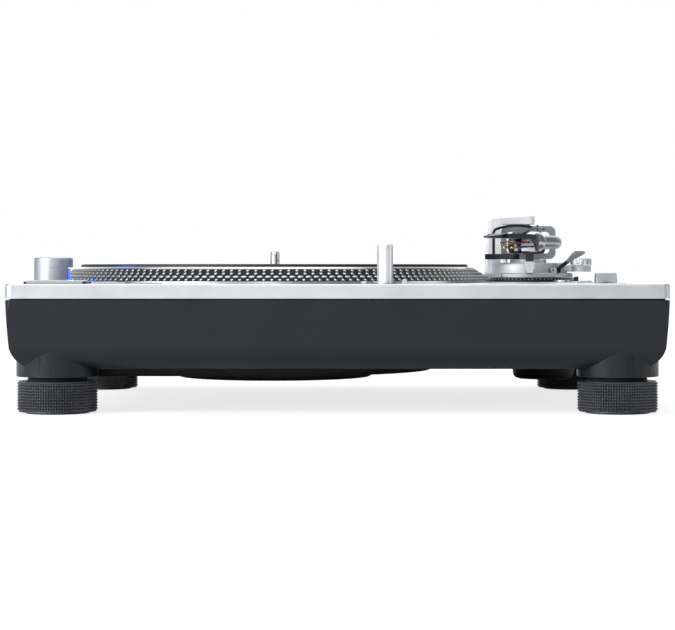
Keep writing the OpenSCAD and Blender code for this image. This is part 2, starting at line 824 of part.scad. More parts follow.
module lamp_button() color([0.75, 0.76, 0.78]) {
    translate([lamp_button_x, lamp_y, deck_top_z + 3.3]) key(lamp_button_w, lamp_button_d, 8.4, 0.7);
}

module fader_plate() color([0.7, 0.71, 0.73]) {
    difference() {
        translate([fader_x, fader_y, deck_top_z - 1]) block(fader_plate_w, fader_plate_l, 1.2);
        translate([fader_x, fader_y, deck_top_z - 2]) block(fader_slot_w, fader_slot_l, 4);
    }
}

module pitch_knob() color([0.75, 0.76, 0.77]) {
    body_h = pitch_top_z - deck_top_z - 0.5;
    stalk_w = fader_slot_w - 2 * slide_gap;
    translate([fader_x, fader_y + pitch_d / 2, deck_top_z + 0.5]) rotate([90, 0, 0]) linear_extrude(pitch_d)
        polygon([
            [-pitch_w / 2, 0], [pitch_w / 2, 0], [pitch_w / 2 - 0.4, body_h - 0.6],
            [pitch_w / 2 - 1, body_h], [-pitch_w / 2 + 1, body_h], [-pitch_w / 2 + 0.4, body_h - 0.6]
        ]);
    translate([fader_x, fader_y, panel_bottom_z - 2]) block(stalk_w, 5, panel_t + 3);
}

module reset_button() color([0.7, 0.71, 0.73]) {
    translate([reset_x, fader_y, deck_top_z + 1.8]) key(reset_w, reset_d, 6.8, 0.6);
}

module headshell_socket() color([0.8, 0.81, 0.82]) {
    difference() {
        union() {
            translate([socket_x, socket_y, deck_top_z]) cylinder(h = 1.6, r = socket_r);
            translate([socket_x, socket_y, panel_bottom_z - 2])
                cylinder(h = panel_t + 2 + 0.5, r = socket_r - 1 - run_gap);
        }
        translate([socket_x, socket_y, panel_bottom_z]) cylinder(h = panel_t + 4, r = socket_bore_r);
    }
}

module record_adaptor() color([0.82, 0.83, 0.84]) {
    translate([adaptor_x, adaptor_y, deck_top_z - 6 + 0.05]) rotate_extrude() polygon([
        [spindle_r + 0.05, 0], [adaptor_r - 0.8, 0], [adaptor_r, 0.8], [adaptor_r, 5],
        [adaptor_r - 7, adaptor_h], [spindle_r + 0.05, adaptor_h]
    ]);
}

// Rear connectors

jack_panel_t = 1.5;
jack_xs = [jack_x - 26, jack_x - 6];
terminal_x = jack_x + 22;
connector_z = base_bottom_z + 14;

module jack_panel() color([0.2, 0.2, 0.22]) {
    for (b = [[jack_x, jack_bay_w], [inlet_x, inlet_bay_w]])
        difference() {
            translate([b[0] - b[1] / 2 + gap, bay_front_y, base_bottom_z + 1])
                cube([b[1] - 2 * gap, jack_panel_t, bay_top_z - base_bottom_z - 1 - gap]);
            for (x = jack_xs)
                translate([x, bay_front_y - cut, connector_z]) rotate([-90, 0, 0])
                    cylinder(h = jack_panel_t + 2 * cut, r = 3.1);
            translate([terminal_x, bay_front_y - cut, connector_z]) rotate([-90, 0, 0])
                cylinder(h = jack_panel_t + 2 * cut, r = 2.1);
        }
}

module phono_jacks() color([0.85, 0.68, 0.3]) {
    for (x = jack_xs)
        translate([x, bay_front_y, connector_z]) rotate([-90, 0, 0]) difference() {
            union() {
                cylinder(h = 12, r = 3);
                translate([0, 0, jack_panel_t]) cylinder(h = 2.5, r = 6);
                translate([0, 0, jack_panel_t]) cylinder(h = 10, r = 4.15);
            }
            translate([0, 0, 4]) cylinder(h = 12, r = 1.6);
        }
}

module ground_terminal() color([0.78, 0.79, 0.8]) {
    translate([terminal_x, bay_front_y, connector_z]) rotate([-90, 0, 0]) {
        cylinder(h = 11, r = 2);
        translate([0, 0, jack_panel_t]) cylinder(h = 2, r = 5);
        translate([0, 0, jack_panel_t + 4]) cylinder(h = 6, r = 4.5);
    }
}

inlet_w = 30;
inlet_h = 21;
inlet_depth = 17;

module power_inlet() color([0.08, 0.08, 0.09]) {
    translate([inlet_x, bay_front_y + jack_panel_t, base_bottom_z + 4]) difference() {
        translate([-inlet_w / 2, 0, 0]) cube([inlet_w, inlet_depth, inlet_h]);
        translate([-inlet_w / 2 + 2.5, 2, 2.5]) cube([inlet_w - 5, inlet_depth, inlet_h - 5]);
    }
    for (x = [-7, 7])
        translate([inlet_x + x, bay_front_y + jack_panel_t + 1.5, base_bottom_z + 4 + inlet_h / 2])
            rotate([-90, 0, 0]) cylinder(h = 11, r = 1.2);
}

module hinge_sockets() color([0.13, 0.13, 0.14]) {
    for (sx = [-1, 1])
        translate([sx * hinge_x, hinge_y, deck_top_z - hinge_h]) difference() {
            block(hinge_w, hinge_d, hinge_h);
            translate([0, 0, 3]) block(hinge_slot_w, hinge_slot_d, hinge_h);
        }
}

// Platter

module platter() color([0.22, 0.22, 0.23]) at_platter() {
    taper_top_z = platter_top_z - rim_bevel;
    taper_h = taper_top_z - rim_lip_top_z;
    run = platter_r - platter_top_r - rim_bevel;
    rows = [for (i = [0:dot_rows - 1])
        each [
            [platter_r - run * i / dot_rows - row_step * 0.4, rim_lip_top_z + taper_h * i / dot_rows],
            [platter_r - run * (i + 1) / dot_rows, rim_lip_top_z + taper_h * (i + 1) / dot_rows]
        ]];
    rotate_extrude($fn = 180) polygon(concat(
        [[seat_r + run_gap, hub_bottom_z], [hub_r, hub_bottom_z], [hub_r, web_bottom_z],
         [platter_r - platter_rim, web_bottom_z], [platter_r - platter_rim, platter_bottom_z],
         [platter_r - 0.5, platter_bottom_z], [platter_r, platter_bottom_z + 0.5], [platter_r, rim_lip_top_z]],
        rows,
        [[platter_top_r, platter_top_z], [seat_r + run_gap, platter_top_z]]
    ));
}

module rotor_magnet() color([0.3, 0.3, 0.32]) at_platter() {
    translate([0, 0, web_bottom_z - magnet_t]) ring(magnet_r, magnet_in_r, magnet_t);
}

module platter_mat() color([0.07, 0.07, 0.08]) at_platter() {
    edge = 1;
    translate([0, 0, platter_top_z]) rotate_extrude($fn = 180) polygon([
        [seat_r + gap, 0], [mat_r, 0], [mat_r, mat_t - edge], [mat_r - edge, mat_t],
        [label_r, mat_t], [label_r - 1, mat_t - label_dip], [seat_r + gap, mat_t - label_dip]
    ]);
}

module spindle() color([0.85, 0.85, 0.86]) at_platter() {
    tip = 3;
    rotate_extrude() polygon(concat(
            [[0, thrust_top_z], [shaft_r - 0.5, thrust_top_z], [shaft_r, thrust_top_z + 0.5],
             [shaft_r, shoulder_bottom_z], [shoulder_r, shoulder_bottom_z], [shoulder_r, hub_bottom_z],
             [seat_r, hub_bottom_z], [seat_r, mat_top_z - label_dip], [spindle_r, mat_top_z - label_dip]],
            [for (i = [0:6]) let (a = 90 * i / 6) [spindle_r * cos(a), spindle_tip_z - tip + tip * sin(a)]]
    ));
}

// Feet

module foot(sx, sy) color([0.13, 0.135, 0.14]) {
    translate([sx * foot_x, sy * foot_y, 0]) rotate_extrude() polygon([
        [0, 0], [foot_pad_r - 0.3, 0], [foot_pad_r, 0.3], [foot_pad_r, foot_pad_t],
        [foot_r - foot_chamfer, foot_pad_t], [foot_r, foot_pad_t + foot_chamfer],
        [foot_r, foot_ring_top - foot_chamfer], [foot_r - foot_chamfer, foot_ring_top],
        [foot_neck_r + 1.5, foot_ring_top], [foot_neck_r, boss_bottom_z - gap],
        [foot_screw_r, boss_bottom_z - gap], [foot_screw_r, foot_screw_top - 1], [0, foot_screw_top - 1]
    ]);
}

module foot_front_left() foot(-1, -1);

module foot_front_right() foot(1, -1);

module foot_rear_left() foot(-1, 1);

module foot_rear_right() foot(1, 1);

// Arm base

lock_t = 0.9;
lock_z = deck_top_z + gap;
height_ring_z = lock_z + lock_t + gap;
height_ring_t = flange_z - gap - height_ring_z;

module height_ring() color([0.08, 0.08, 0.09]) at_arm_base() {
    translate([0, 0, height_ring_z]) ring(height_ring_r, stem_r + gap, height_ring_t);
}

module height_lock() color([0.09, 0.09, 0.1]) at_arm_base() {
    translate([0, 0, lock_z]) ring(height_ring_r - 0.4, stem_r + gap, lock_t);
    translate([height_ring_r - 1, -3, lock_z]) cube([1.2 + gap, 6, lock_t]);
    translate([height_ring_r + gap, -3, lock_z]) cube([3.2, 6, 3.6]);
}

module arm_base() color([0.76, 0.77, 0.79]) at_arm_base() {
    bevel = 0.8;
    difference() {
        union() {
            rotate_extrude() polygon([
                [0, stem_bottom_z], [stem_r, stem_bottom_z], [stem_r, flange_z],
                [flange_r - 0.3, flange_z], [flange_r, flange_z + 0.3],
                [flange_r, flange_top_z - bevel], [flange_r - bevel, flange_top_z],
                [drum_r, flange_top_z], [drum_r, drum_top_z - bevel], [drum_r - bevel, drum_top_z],
                [step_r, drum_top_z], [step_r, step_top_z - 0.5], [step_r - 0.5, step_top_z], [0, step_top_z]
            ]);
            translate([skate_x, skate_y, skate_boss_bottom])
                cylinder(h = skate_boss_top - skate_boss_bottom, r = skate_r - 0.5);
            skate_arm();
        }
        translate([0, 0, stem_bottom_z - cut]) cylinder(h = flange_z - stem_bottom_z, r = stem_r - 4);
        translate([0, 0, step_top_z - pin_len - 0.5]) cylinder(h = pin_len + cut, r = pin_r + run_gap, $fn = 48);
        translate([-yoke_out_x - 3, -yoke_width / 2 + yoke_shift - gap, flange_top_z])
            cube([yoke_side_t + 3 + gap, yoke_width + 2 * gap, drum_h + cut]);
        rotate([0, 0, -lift_stem_angle]) translate([0, -lift_stem_at, drum_top_z - 4 - lift_travel - gap])
            cylinder(h = 4 + lift_travel + gap + cut, r = lift_stem_r + run_gap, $fn = 48);
        translate([skate_x, skate_y, skate_boss_top - 3.5]) cylinder(h = 3.5 + cut, r = 2 + run_gap, $fn = 48);
        translate([cue_x, cue_y, flange_top_z]) rotate([0, 0, cue_heading])
            translate([-4.3, -cue_ear_y - 0.5, 0]) cube([8.6, 2 * cue_ear_y + 1, drum_h + cut]);
    }
    cue_ears();
}

// Two ears on the flange that hold the cue lever's pin.
module cue_ears() {
    translate([cue_x, cue_y, flange_top_z - 0.5]) rotate([0, 0, cue_heading]) difference() {
        for (side = [-1, 1])
            translate([-2.2, side * (cue_ear_y - cue_ear_t / 2) - cue_ear_t / 2, 0]) cube([4.4, cue_ear_t, 4.6]);
        translate([0, -cue_ear_y - cut, cue_hinge_z - flange_top_z + 0.5]) rotate([-90, 0, 0])
            cylinder(h = 2 * cue_ear_y + 2 * cut, r = cue_pin_r + run_gap, $fn = 32);
    }
}

module skate_arm() {
    reach = sqrt(pow(skate_x, 2) + pow(skate_y, 2));
    rotate([0, 0, atan2(skate_y, skate_x)]) translate([drum_r - 4, -4, skate_boss_bottom])
        cube([reach - drum_r + 4, 8, skate_boss_top - skate_boss_bottom]);
}

// The yoke is a C in front view, cut to a tapering outline in plan.
module arm_yoke() color([0.86, 0.86, 0.88]) at_arm_base() {
    inner_top_z = gimbal_top_z + 1.4;
    mid_y = yoke_shift;
    difference() {
        intersection() {
            translate([0, yoke_width + mid_y, 0]) rotate([90, 0, 0]) linear_extrude(2 * yoke_width) difference() {
                yoke_front();
                polygon([
                    [-yoke_in_x, flange_top_z - cut], [-yoke_in_x, inner_top_z],
                    [yoke_end_r + cut, inner_top_z], [yoke_end_r + cut, flange_top_z - cut]
                ]);
            }
            translate([0, 0, flange_top_z]) linear_extrude(yoke_top_z - flange_top_z + cut) union() {
                polygon([
                    [-yoke_out_x, mid_y - yoke_width / 2], [-yoke_in_x, mid_y - yoke_width / 2],
                    [0, -yoke_end_r], [0, yoke_end_r],
                    [-yoke_in_x, mid_y + yoke_width / 2], [-yoke_out_x, mid_y + yoke_width / 2]
                ]);
                circle(yoke_end_r);
            }
        }
        translate([0, 0, inner_top_z - cut]) cylinder(h = pin_len + cut, r = pin_r + run_gap, $fn = 48);
    }
}

module yoke_front() {
    round_r = 3;
    top_left_z = yoke_top_z - 2;
    left_top_x = -yoke_out_x + yoke_lean;
    polygon([
        [-yoke_out_x, flange_top_z], [yoke_end_r + cut, flange_top_z],
        [yoke_end_r + cut, yoke_top_z], [left_top_x + round_r, top_left_z],
        [left_top_x, top_left_z - round_r]
    ]);
    translate([left_top_x + round_r, top_left_z - round_r]) circle(round_r, $fn = 48);
}

module at_rest() {
    at_arm_base() rotate([0, 0, -park_angle]) translate([0, -rest_ahead, 0]) children();
}

rest_top_z = pivot_z - tube_drop - tube_r - 1.6;
rest_wall_top_z = pivot_z - tube_drop + tube_r + 0.2;

module armrest() color([0.8, 0.81, 0.83]) at_rest() {
    foot_len = rest_ahead - drum_r + rest_d / 2 - 0.6;
    block_z = flange_top_z + 2.6;
    saddle_z = block_z + 6.6;
    lip_w = 1.6;
    // A foot on the flange, the clamp block, a post and the saddle with its outer wall.
    translate([-rest_w / 2 + 1, -rest_d / 2, flange_top_z]) cube([rest_w - 2, foot_len, 2.6]);
    translate([-rest_w / 2, -rest_d / 2, block_z]) cube([rest_w, rest_d, 6.6]);
    translate([-rest_w / 2 + 0.8, -rest_d / 2 + 1, saddle_z])
        cube([rest_w - 1.6, rest_d - 2, rest_top_z - saddle_z]);
    translate([-tube_r - 0.6, -rest_d / 2 + 1, rest_top_z - lip_w])
        cube([2 * tube_r + 1.2 + lip_w, rest_d - 2, lip_w]);
    translate([tube_r + 0.6, -rest_d / 2 + 1, rest_top_z - lip_w])
        cube([lip_w, rest_d - 2, rest_wall_top_z - rest_top_z + lip_w]);
}

clip_r = 1.2;
clip_len = 7.2;

module armrest_clip() color([0.1, 0.1, 0.11]) at_rest() {
    translate([tube_r + 1.4, 0, rest_wall_top_z + clip_r + gap]) {
        translate([0, rest_d / 2 - 1, 0]) rotate([90, 0, 0]) cylinder(h = rest_d - 2, r = clip_r, $fn = 48);
        translate([-0.6, -rest_d / 2 + 1, 0]) cube([1.2, rest_d - 2, clip_len]);
        translate([0, rest_d / 2 - 1, clip_len]) rotate([90, 0, 0]) cylinder(h = rest_d - 2, r = 1.1, $fn = 48);
    }
}

module lift_rail() color([0.07, 0.07, 0.08]) at_arm_base() {
    rail_end(rail_from);
    rail_end(rail_to);
    translate([0, 0, rail_top_z - rail_t]) rotate([0, 0, -90 - rail_to])
        rotate_extrude(angle = rail_to - rail_from) translate([rail_r - rail_w / 2, 0]) square([rail_w, rail_t]);
    rotate([0, 0, -lift_stem_angle]) {
        translate([0, -lift_stem_at, drum_top_z - 4])
            cylinder(h = rail_top_z - drum_top_z + 3, r = lift_stem_r, $fn = 48);
        translate([-lift_lug_w / 2, -rail_r, rail_top_z - rail_t])
            cube([lift_lug_w, rail_r - lift_stem_at + lift_stem_r + 1, rail_t]);
    }
    lift_bow();
}

module rail_end(angle) {
    rotate([0, 0, -angle]) translate([0, -rail_r, rail_top_z - rail_t]) cylinder(h = rail_t, r = rail_w / 2 - 0.2, $fn = 48);
}

// A thin rod that rises from the rail and bows over the tube to the right.
bow_foot = [-rail_post_at * sin(rail_post_angle), 0, 180];
bow_knee = ahead(bow_foot, 17.5);
bow_turn = bend(bow_knee, 3.5, -70, 6);
bow_route = concat([bow_foot, bow_knee], bow_turn, bend(last(bow_turn), 47, -35, 8));

module lift_bow() {
    translate([0, -rail_post_at * cos(rail_post_angle), rail_top_z - 1])
        rotate([90, 0, 0]) translate([0, 0, -rail_post_r])
            linear_extrude(2 * rail_post_r) polygon(ribbon(bow_route, rail_post_r));
}

// The outline of a strip along a route, r to each side.
function ribbon(route, r) = concat(
    [for (s = route) [s[0] + r * cos(s[2]), s[1] + r * sin(s[2])]],
    [for (i = [len(route) - 1:-1:0]) [route[i][0] - r * cos(route[i][2]), route[i][1] - r * sin(route[i][2])]]
);

module at_cue() {
    at_arm_base() translate([cue_x, cue_y, cue_hinge_z]) rotate([0, 0, cue_heading]) children();
}

module cue_lever() color([0.45, 0.46, 0.48]) at_cue() {
    rotate([90, 0, 0]) {
        translate([0, 0, -cue_hub_w / 2]) cylinder(h = cue_hub_w, r = 1.9, $fn = 48);
        translate([0, 0, -cue_ear_y]) cylinder(h = 2 * cue_ear_y, r = cue_pin_r, $fn = 32);
    }
    rotate([0, -cue_slope, 0]) {
        rotate([0, 90, 0]) cylinder(h = 13, r = 1.5, $fn = 48);
        translate([12, 0, -0.9]) linear_extrude(1.8)
            polygon([[0, -1.6], [12, -cue_paddle], [14, -cue_paddle], [14, cue_paddle], [12, cue_paddle], [0, 1.6]]);
    }
}

module antiskate_knob() color([0.82, 0.83, 0.85]) at_arm_base() {
    h = skate_top_z - skate_boss_top - gap;
    translate([skate_x, skate_y, skate_boss_top + gap]) rotate_extrude() polygon([
        [0, -gap - 3], [2, -gap - 3], [2, 0], [skate_r, 0], [skate_r, h - 0.6], [skate_r - 0.6, h], [0, h]
    ]);
}

// Gimbal and arm

module gimbal_ring() color([0.55, 0.56, 0.58]) at_arm() {
    inner_w = gimbal_w - 2 * gimbal_wall;
    inner_h = gimbal_h - 2 * gimbal_wall;
    difference() {
        translate([0, gimbal_depth / 2, 0]) rotate([90, 0, 0]) difference() {
            rounded_slab(gimbal_w, gimbal_h, 5, gimbal_depth);
            translate([0, 0, -cut]) rounded_slab(inner_w, inner_h, 3, gimbal_depth + 2 * cut);
        }
        rotate([0, 90, 0]) translate([0, 0, -gimbal_w]) cylinder(h = 2 * gimbal_w, r = pin_r + run_gap, $fn = 48);
    }
    translate([0, 0, gimbal_h / 2 - 0.5]) cylinder(h = pin_len, r = pin_r, $fn = 48);
    translate([0, 0, -gimbal_h / 2 - pin_len + 0.5]) cylinder(h = pin_len, r = pin_r, $fn = 48);
}

block_w = 22;
block_d = 16;
block_h = 13.6;
rear_len = 75;
rear_r = 5;

module pivot_block() color([0.7, 0.71, 0.73]) at_arm() {
    translate([-block_w / 2, -block_d / 2, -block_h / 2]) cube([block_w, block_d, block_h]);
    rotate([0, 90, 0]) translate([0, 0, -gimbal_w / 2 + 1]) cylinder(h = gimbal_w - 2, r = pin_r, $fn = 48);
    translate([0, block_d / 2, -tube_drop]) rotate([-90, 0, 0]) cylinder(h = rear_len - block_d / 2, r = rear_r);
}

module arm_tube() color([0.8, 0.81, 0.83]) at_arm() {
    translate([0, 0, -tube_drop]) routed_tube(tube_route, tube_r, 28);
}

collar_from = 1.2;

module locking_collar() color([0.88, 0.89, 0.9]) at_arm() at_tube_end() {
    bore = tube_r + run_gap;
    translate([0, -collar_from + collar_len, 0]) rotate([90, 0, 0]) rotate_extrude() polygon([
        [bore, 0], [collar_r - 1.4, 0], [collar_r - 0.5, 2], [collar_r, 4], [collar_r, collar_len - 1],
        [collar_r - 1, collar_len], [bore, collar_len]
    ]);
}

neck_len = 5;
sweep_len = 13;
neck_h = 14.5;
plate_t = 3.2;
plate_top = 5.2;
shell_wall = 2.2;
plug_at = 3;
pin_gap = 0.1;

// The headshell: a neck as tall as the collar, whose side sweeps up into the mounting plate.
module headshell() color([0.24, 0.24, 0.26]) at_arm() at_tube_end() {
    start = collar_from + gap;
    half = shell_w / 2;
    difference() {
        intersection() {
            translate([half + 1, 0, 0]) rotate([0, -90, 0]) linear_extrude(shell_w + 2) shell_side(start);
            translate([0, 0, -neck_h]) linear_extrude(2 * neck_h) shell_plan(start, half);
        }
        for (x = [-6.35, 6.35])
            translate([x, -shell_len + 12, 0]) slot_cut(1.3, 10);
        translate([-half + shell_wall, -start - neck_len - sweep_len - 1, -neck_h])
            cube([shell_w - 2 * shell_wall, neck_len + sweep_len + 1 - plug_at, neck_h + plate_top - plate_t - 0.2]);
    }
    rotate([90, 0, 0]) cylinder(h = start + 3, r = 3.6, $fn = 48);
}

module slot_cut(r, l) {
    translate([0, 0, -neck_h]) {
        translate([-r, 0, 0]) cube([2 * r, l, 2 * neck_h]);
        cylinder(h = 2 * neck_h, r = r, $fn = 32);
        translate([0, l, 0]) cylinder(h = 2 * neck_h, r = r, $fn = 32);
    }
}

// Side view as [height, distance] points, since it is turned upright afterwards.
module shell_side(start) {
    bottom = -collar_r + 0.4;
    under = plate_top - plate_t;
    polygon(concat(
        [[plate_top - 1.6, -start], [plate_top, -start - 6], [plate_top, -shell_len + 20], [plate_top - 2, -shell_len],
         [plate_top - 3, -shell_len], [under, -shell_len + 20]],
        [for (i = [0:8]) let (a = 90 - 90 * i / 8)
            [bottom + (under - bottom) * sin(a), -start - neck_len - sweep_len * (1 - cos(a))]],
        [[bottom, -start]]
    ));
}

module shell_plan(start, half) {
    nose = 4;
    polygon([
        [-6.6, -start], [6.6, -start], [half, -start - 9], [half, -shell_len + 18],
        [nose, -shell_len + nose], [-nose, -shell_len + nose], [-half, -shell_len + 18], [-half, -start - 9]
    ]);
    translate([0, -shell_len + nose]) circle(nose, $fn = 48);
}

lift_reach = 15;

module finger_lift() color([0.3, 0.3, 0.32]) at_arm() at_tube_end() {
    half = shell_w / 2;
    t = 1.2;
    // A flat bar that rises sideways from the plate, with a drooping tip.
    translate([0, -shell_len + 41, plate_top]) rotate([90, 0, 0]) linear_extrude(3.6) polygon([
        [1, 0], [half - 1, 0], [half + 4, 2.4], [half + lift_reach - 4, 3.8], [half + lift_reach, 2.6],
        [half + lift_reach, 2.6 + t], [half + lift_reach - 4, 3.8 + t], [half + 4, 2.4 + t],
        [half - 1, t], [1, t]
    ]);
}

// Lead wires, swept along a cubic curve with one ring per step
wire_r = 0.55;
wire_steps = 12;
wire_sides = 8;

function curve_point(p, t) = pow(1 - t, 3) * p[0] + 3 * t * pow(1 - t, 2) * p[1]
    + 3 * t * t * (1 - t) * p[2] + pow(t, 3) * p[3];

module wire(p) {
    ring_points = [for (i = [0:wire_steps]) let (c = curve_point(p, i / wire_steps))
        for (k = [0:wire_sides - 1]) let (a = 360 * k / wire_sides)
            [c[0] + wire_r * cos(a), c[1], c[2] + wire_r * sin(a)]];
    end = wire_steps * wire_sides;
    polyhedron(
        points = ring_points,
        faces = concat(
            [[for (k = [0:wire_sides - 1]) k]],
            [[for (k = [wire_sides - 1:-1:0]) end + k]],
            [for (i = [0:wire_steps - 1], k = [0:wire_sides - 1])
                let (a = i * wire_sides + k, b = i * wire_sides + (k + 1) % wire_sides)
                [b, a, a + wire_sides]],
            [for (i = [0:wire_steps - 1], k = [0:wire_sides - 1])
                let (a = i * wire_sides + k, b = i * wire_sides + (k + 1) % wire_sides)
                [b, a + wire_sides, b + wire_sides]]
        )
    );
}

module headshell_leads() color([0.8, 0.2, 0.15]) at_arm() at_tube_end() {
    pin_y = -collar_from - gap - plug_at - 1.5 - pin_gap;
    for (i = [0:3]) {
        x = -4.2 + 2.8 * i;
        z = i % 2 == 0 ? -0.6 : -3.6;
        translate([x, pin_y + 1.5, z]) rotate([90, 0, 0]) cylinder(h = 3.5, r = 0.8, $fn = 24);
        wire([[x, pin_y - 1.9, z], [x, pin_y - 9, z + 0.4], [x * 1.15, pin_y - 18, z - 1.5], [x * 1.1, pin_y - 27, z - 0.8]]);
        translate([x * 1.1, pin_y - 26.8, z - 0.8]) rotate([90, 0, 0]) cylinder(h = 6, r = 0.85, $fn = 24);
    }
}

weight_from = 41;
weight_hollow_r = 12.5;
weight_hollow = 14;
dial_len = 5;

module counterweight() color([0.25, 0.25, 0.27]) at_arm() {
    bevel = 1.2;
    translate([0, weight_from, -tube_drop]) rotate([-90, 0, 0]) rotate_extrude() polygon([
        [rear_r + run_gap, 0], [weight_r - bevel, 0], [weight_r, bevel], [weight_r, weight_len - bevel],
        [weight_r - bevel, weight_len], [weight_hollow_r, weight_len],
        [weight_hollow_r, weight_len - weight_hollow], [rear_r + run_gap, weight_len - weight_hollow]
    ]);
}

module force_dial() color([0.12, 0.12, 0.13]) at_arm() {
    translate([0, weight_from - gap - dial_len, -tube_drop]) rotate([-90, 0, 0])
        ring(weight_r - 1.5, rear_r + run_gap, dial_len);
}

top_panel();
base_shell();
bottom_cover();
motor_cover();
arm_cover();
motor_frame();
stator_board();
stator_coils();
bearing_housing();
thrust_pad();
power_board();
transformer();
control_board();
strobe_column();
strobe_lens();
button_frame();
lamp_sleeve();
fader_plate();
headshell_socket();
jack_panel();
phono_jacks();
ground_terminal();
power_inlet();
hinge_sockets();
platter();
rotor_magnet();
platter_mat();
spindle();
power_knob();
start_stop_button();
speed_button_33();
speed_button_45();
stylus_lamp();
lamp_lens();
lamp_button();
pitch_knob();
reset_button();
foot_front_left();
foot_front_right();
foot_rear_left();
foot_rear_right();
height_ring();
height_lock();
arm_base();
arm_yoke();
armrest();
armrest_clip();
lift_rail();
cue_lever();
antiskate_knob();
gimbal_ring();
pivot_block();
arm_tube();
locking_collar();
headshell();
finger_lift();
headshell_leads();
counterweight();
force_dial();
record_adaptor();
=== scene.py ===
import json
import math

import bmesh
import bpy
import numpy as np
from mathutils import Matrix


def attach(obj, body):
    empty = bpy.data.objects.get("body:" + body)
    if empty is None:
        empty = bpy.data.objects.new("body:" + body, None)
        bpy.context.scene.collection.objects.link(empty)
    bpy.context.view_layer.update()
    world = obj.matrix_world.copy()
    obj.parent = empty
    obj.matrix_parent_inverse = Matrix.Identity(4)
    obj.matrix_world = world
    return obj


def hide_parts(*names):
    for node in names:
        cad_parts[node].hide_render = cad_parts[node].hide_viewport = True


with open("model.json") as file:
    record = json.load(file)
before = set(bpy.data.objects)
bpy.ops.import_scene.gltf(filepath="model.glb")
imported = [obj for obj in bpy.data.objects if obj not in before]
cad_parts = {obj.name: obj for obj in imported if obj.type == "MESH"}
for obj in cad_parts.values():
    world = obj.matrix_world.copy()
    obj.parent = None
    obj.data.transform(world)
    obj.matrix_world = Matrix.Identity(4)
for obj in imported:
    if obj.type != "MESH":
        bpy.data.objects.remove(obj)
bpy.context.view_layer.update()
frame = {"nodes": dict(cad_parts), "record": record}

bl_info = {
    "name": "Record turntable",
    "version": (1, 0, 0),
    "blender": (4, 5, 0),
    "location": "View3D > Sidebar > Turntable",
    "description": "Dresses the direct-drive turntable's frame with its finishes and fine parts",
    "category": "Object",
}

MM = 0.001

# Heights and places in millimetres, as in the part's source.
DECK_TOP = 89.5
DECK_W, DECK_D = 453.0, 353.0
PLATTER_X = -47.8
PLATTER_R, PLATTER_TOP_R, PLATTER_TOP = 166.0, 151.0, DECK_TOP + 11.6
PIVOT_TO_SPINDLE, PIVOT_Y = 215.0, 77.0
PIVOT_X = PLATTER_X + math.sqrt(PIVOT_TO_SPINDLE**2 - PIVOT_Y**2)
PIVOT_Z = DECK_TOP + 31.2
KNOB_AT = (PIVOT_X + 40.3, PIVOT_Y - 17)
PARK = math.radians(-3.8)
TUBE_R, TUBE_DROP = 4.75, 1.5
FOOT_X, FOOT_Y = DECK_W / 2 - 32, DECK_D / 2 - 32
MERGE = 0.002 * MM


# Mesh work


def grid_faces(rows, columns, closed_rows=False, closed_columns=False):
    """Quads between the neighbours of a grid of points, row by row."""
    r, c = np.indices((rows - (not closed_rows), columns - (not closed_columns)))
    r_next, c_next = (r + 1) % rows, (c + 1) % columns
    return np.stack([r * columns + c, r * columns + c_next, r_next * columns + c_next, r_next * columns + c],
                    axis=-1).reshape(-1, 4)


def join(*surfaces):
    """Several (points, faces) surfaces as one, with each face index moved by the points before it."""
    points, faces, count = [], [], 0
    for surface_points, surface_faces in surfaces:
        points.append(surface_points)
        faces += [[index + count for index in face] for face in surface_faces]
        count += len(surface_points)
    return np.concatenate(points), faces


def make(name, surface, finish, body, nodes=(), sharp=35.0, bevel=0.0, outward=True, finish_of=None):
    """A piece from (points in mm, faces): doubles merged, faces outward, smooth between sharp edges.

    finish_of holds each face's place in the list of finishes.
    """
    points, faces = surface
    mesh = bpy.data.meshes.new(name)
    mesh.from_pydata((np.asarray(points) * MM).tolist(), [], [list(face) for face in faces])
    if finish_of is not None:
        mesh.polygons.foreach_set("material_index", finish_of)
    close(mesh, outward)
    settle(put(name, mesh), finish if isinstance(finish, list) else [finish], body, nodes, sharp, bevel)


def put(name, data):
    """A new object in the scene for a mesh, a light or a camera."""
    thing = bpy.data.objects.new(name, data)
    bpy.context.scene.collection.objects.link(thing)
    return thing


def close(mesh, outward):
    """Merges a mesh's doubles, drops faces of no area and turns its faces outwards if asked."""
    work = bmesh.new()
    work.from_mesh(mesh)
    bmesh.ops.remove_doubles(work, verts=work.verts, dist=MERGE)
    bmesh.ops.dissolve_degenerate(work, edges=work.edges, dist=MERGE / 2)
    if outward:
        bmesh.ops.recalc_face_normals(work, faces=work.faces)
    work.to_mesh(mesh)
    work.free()


def settle(piece, finishes, body, nodes, sharp, bevel):
    """Gives a piece its finishes, its smooth shading, its bevel and its place in the frame."""
    mesh = piece.data
    for finish in finishes:
        mesh.materials.append(material(finish))
    mesh.shade_smooth()
    mesh.set_sharp_from_angle(angle=math.radians(sharp))
    if bevel:
        edge = piece.modifiers.new("edge", "BEVEL")
        edge.width = bevel * MM
        edge.segments = 2
        edge.limit_method = "ANGLE"
        edge.angle_limit = math.radians(40)
        edge.harden_normals = True
        edge.use_clamp_overlap = True
    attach(piece, body)
    if nodes:
        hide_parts(*nodes)


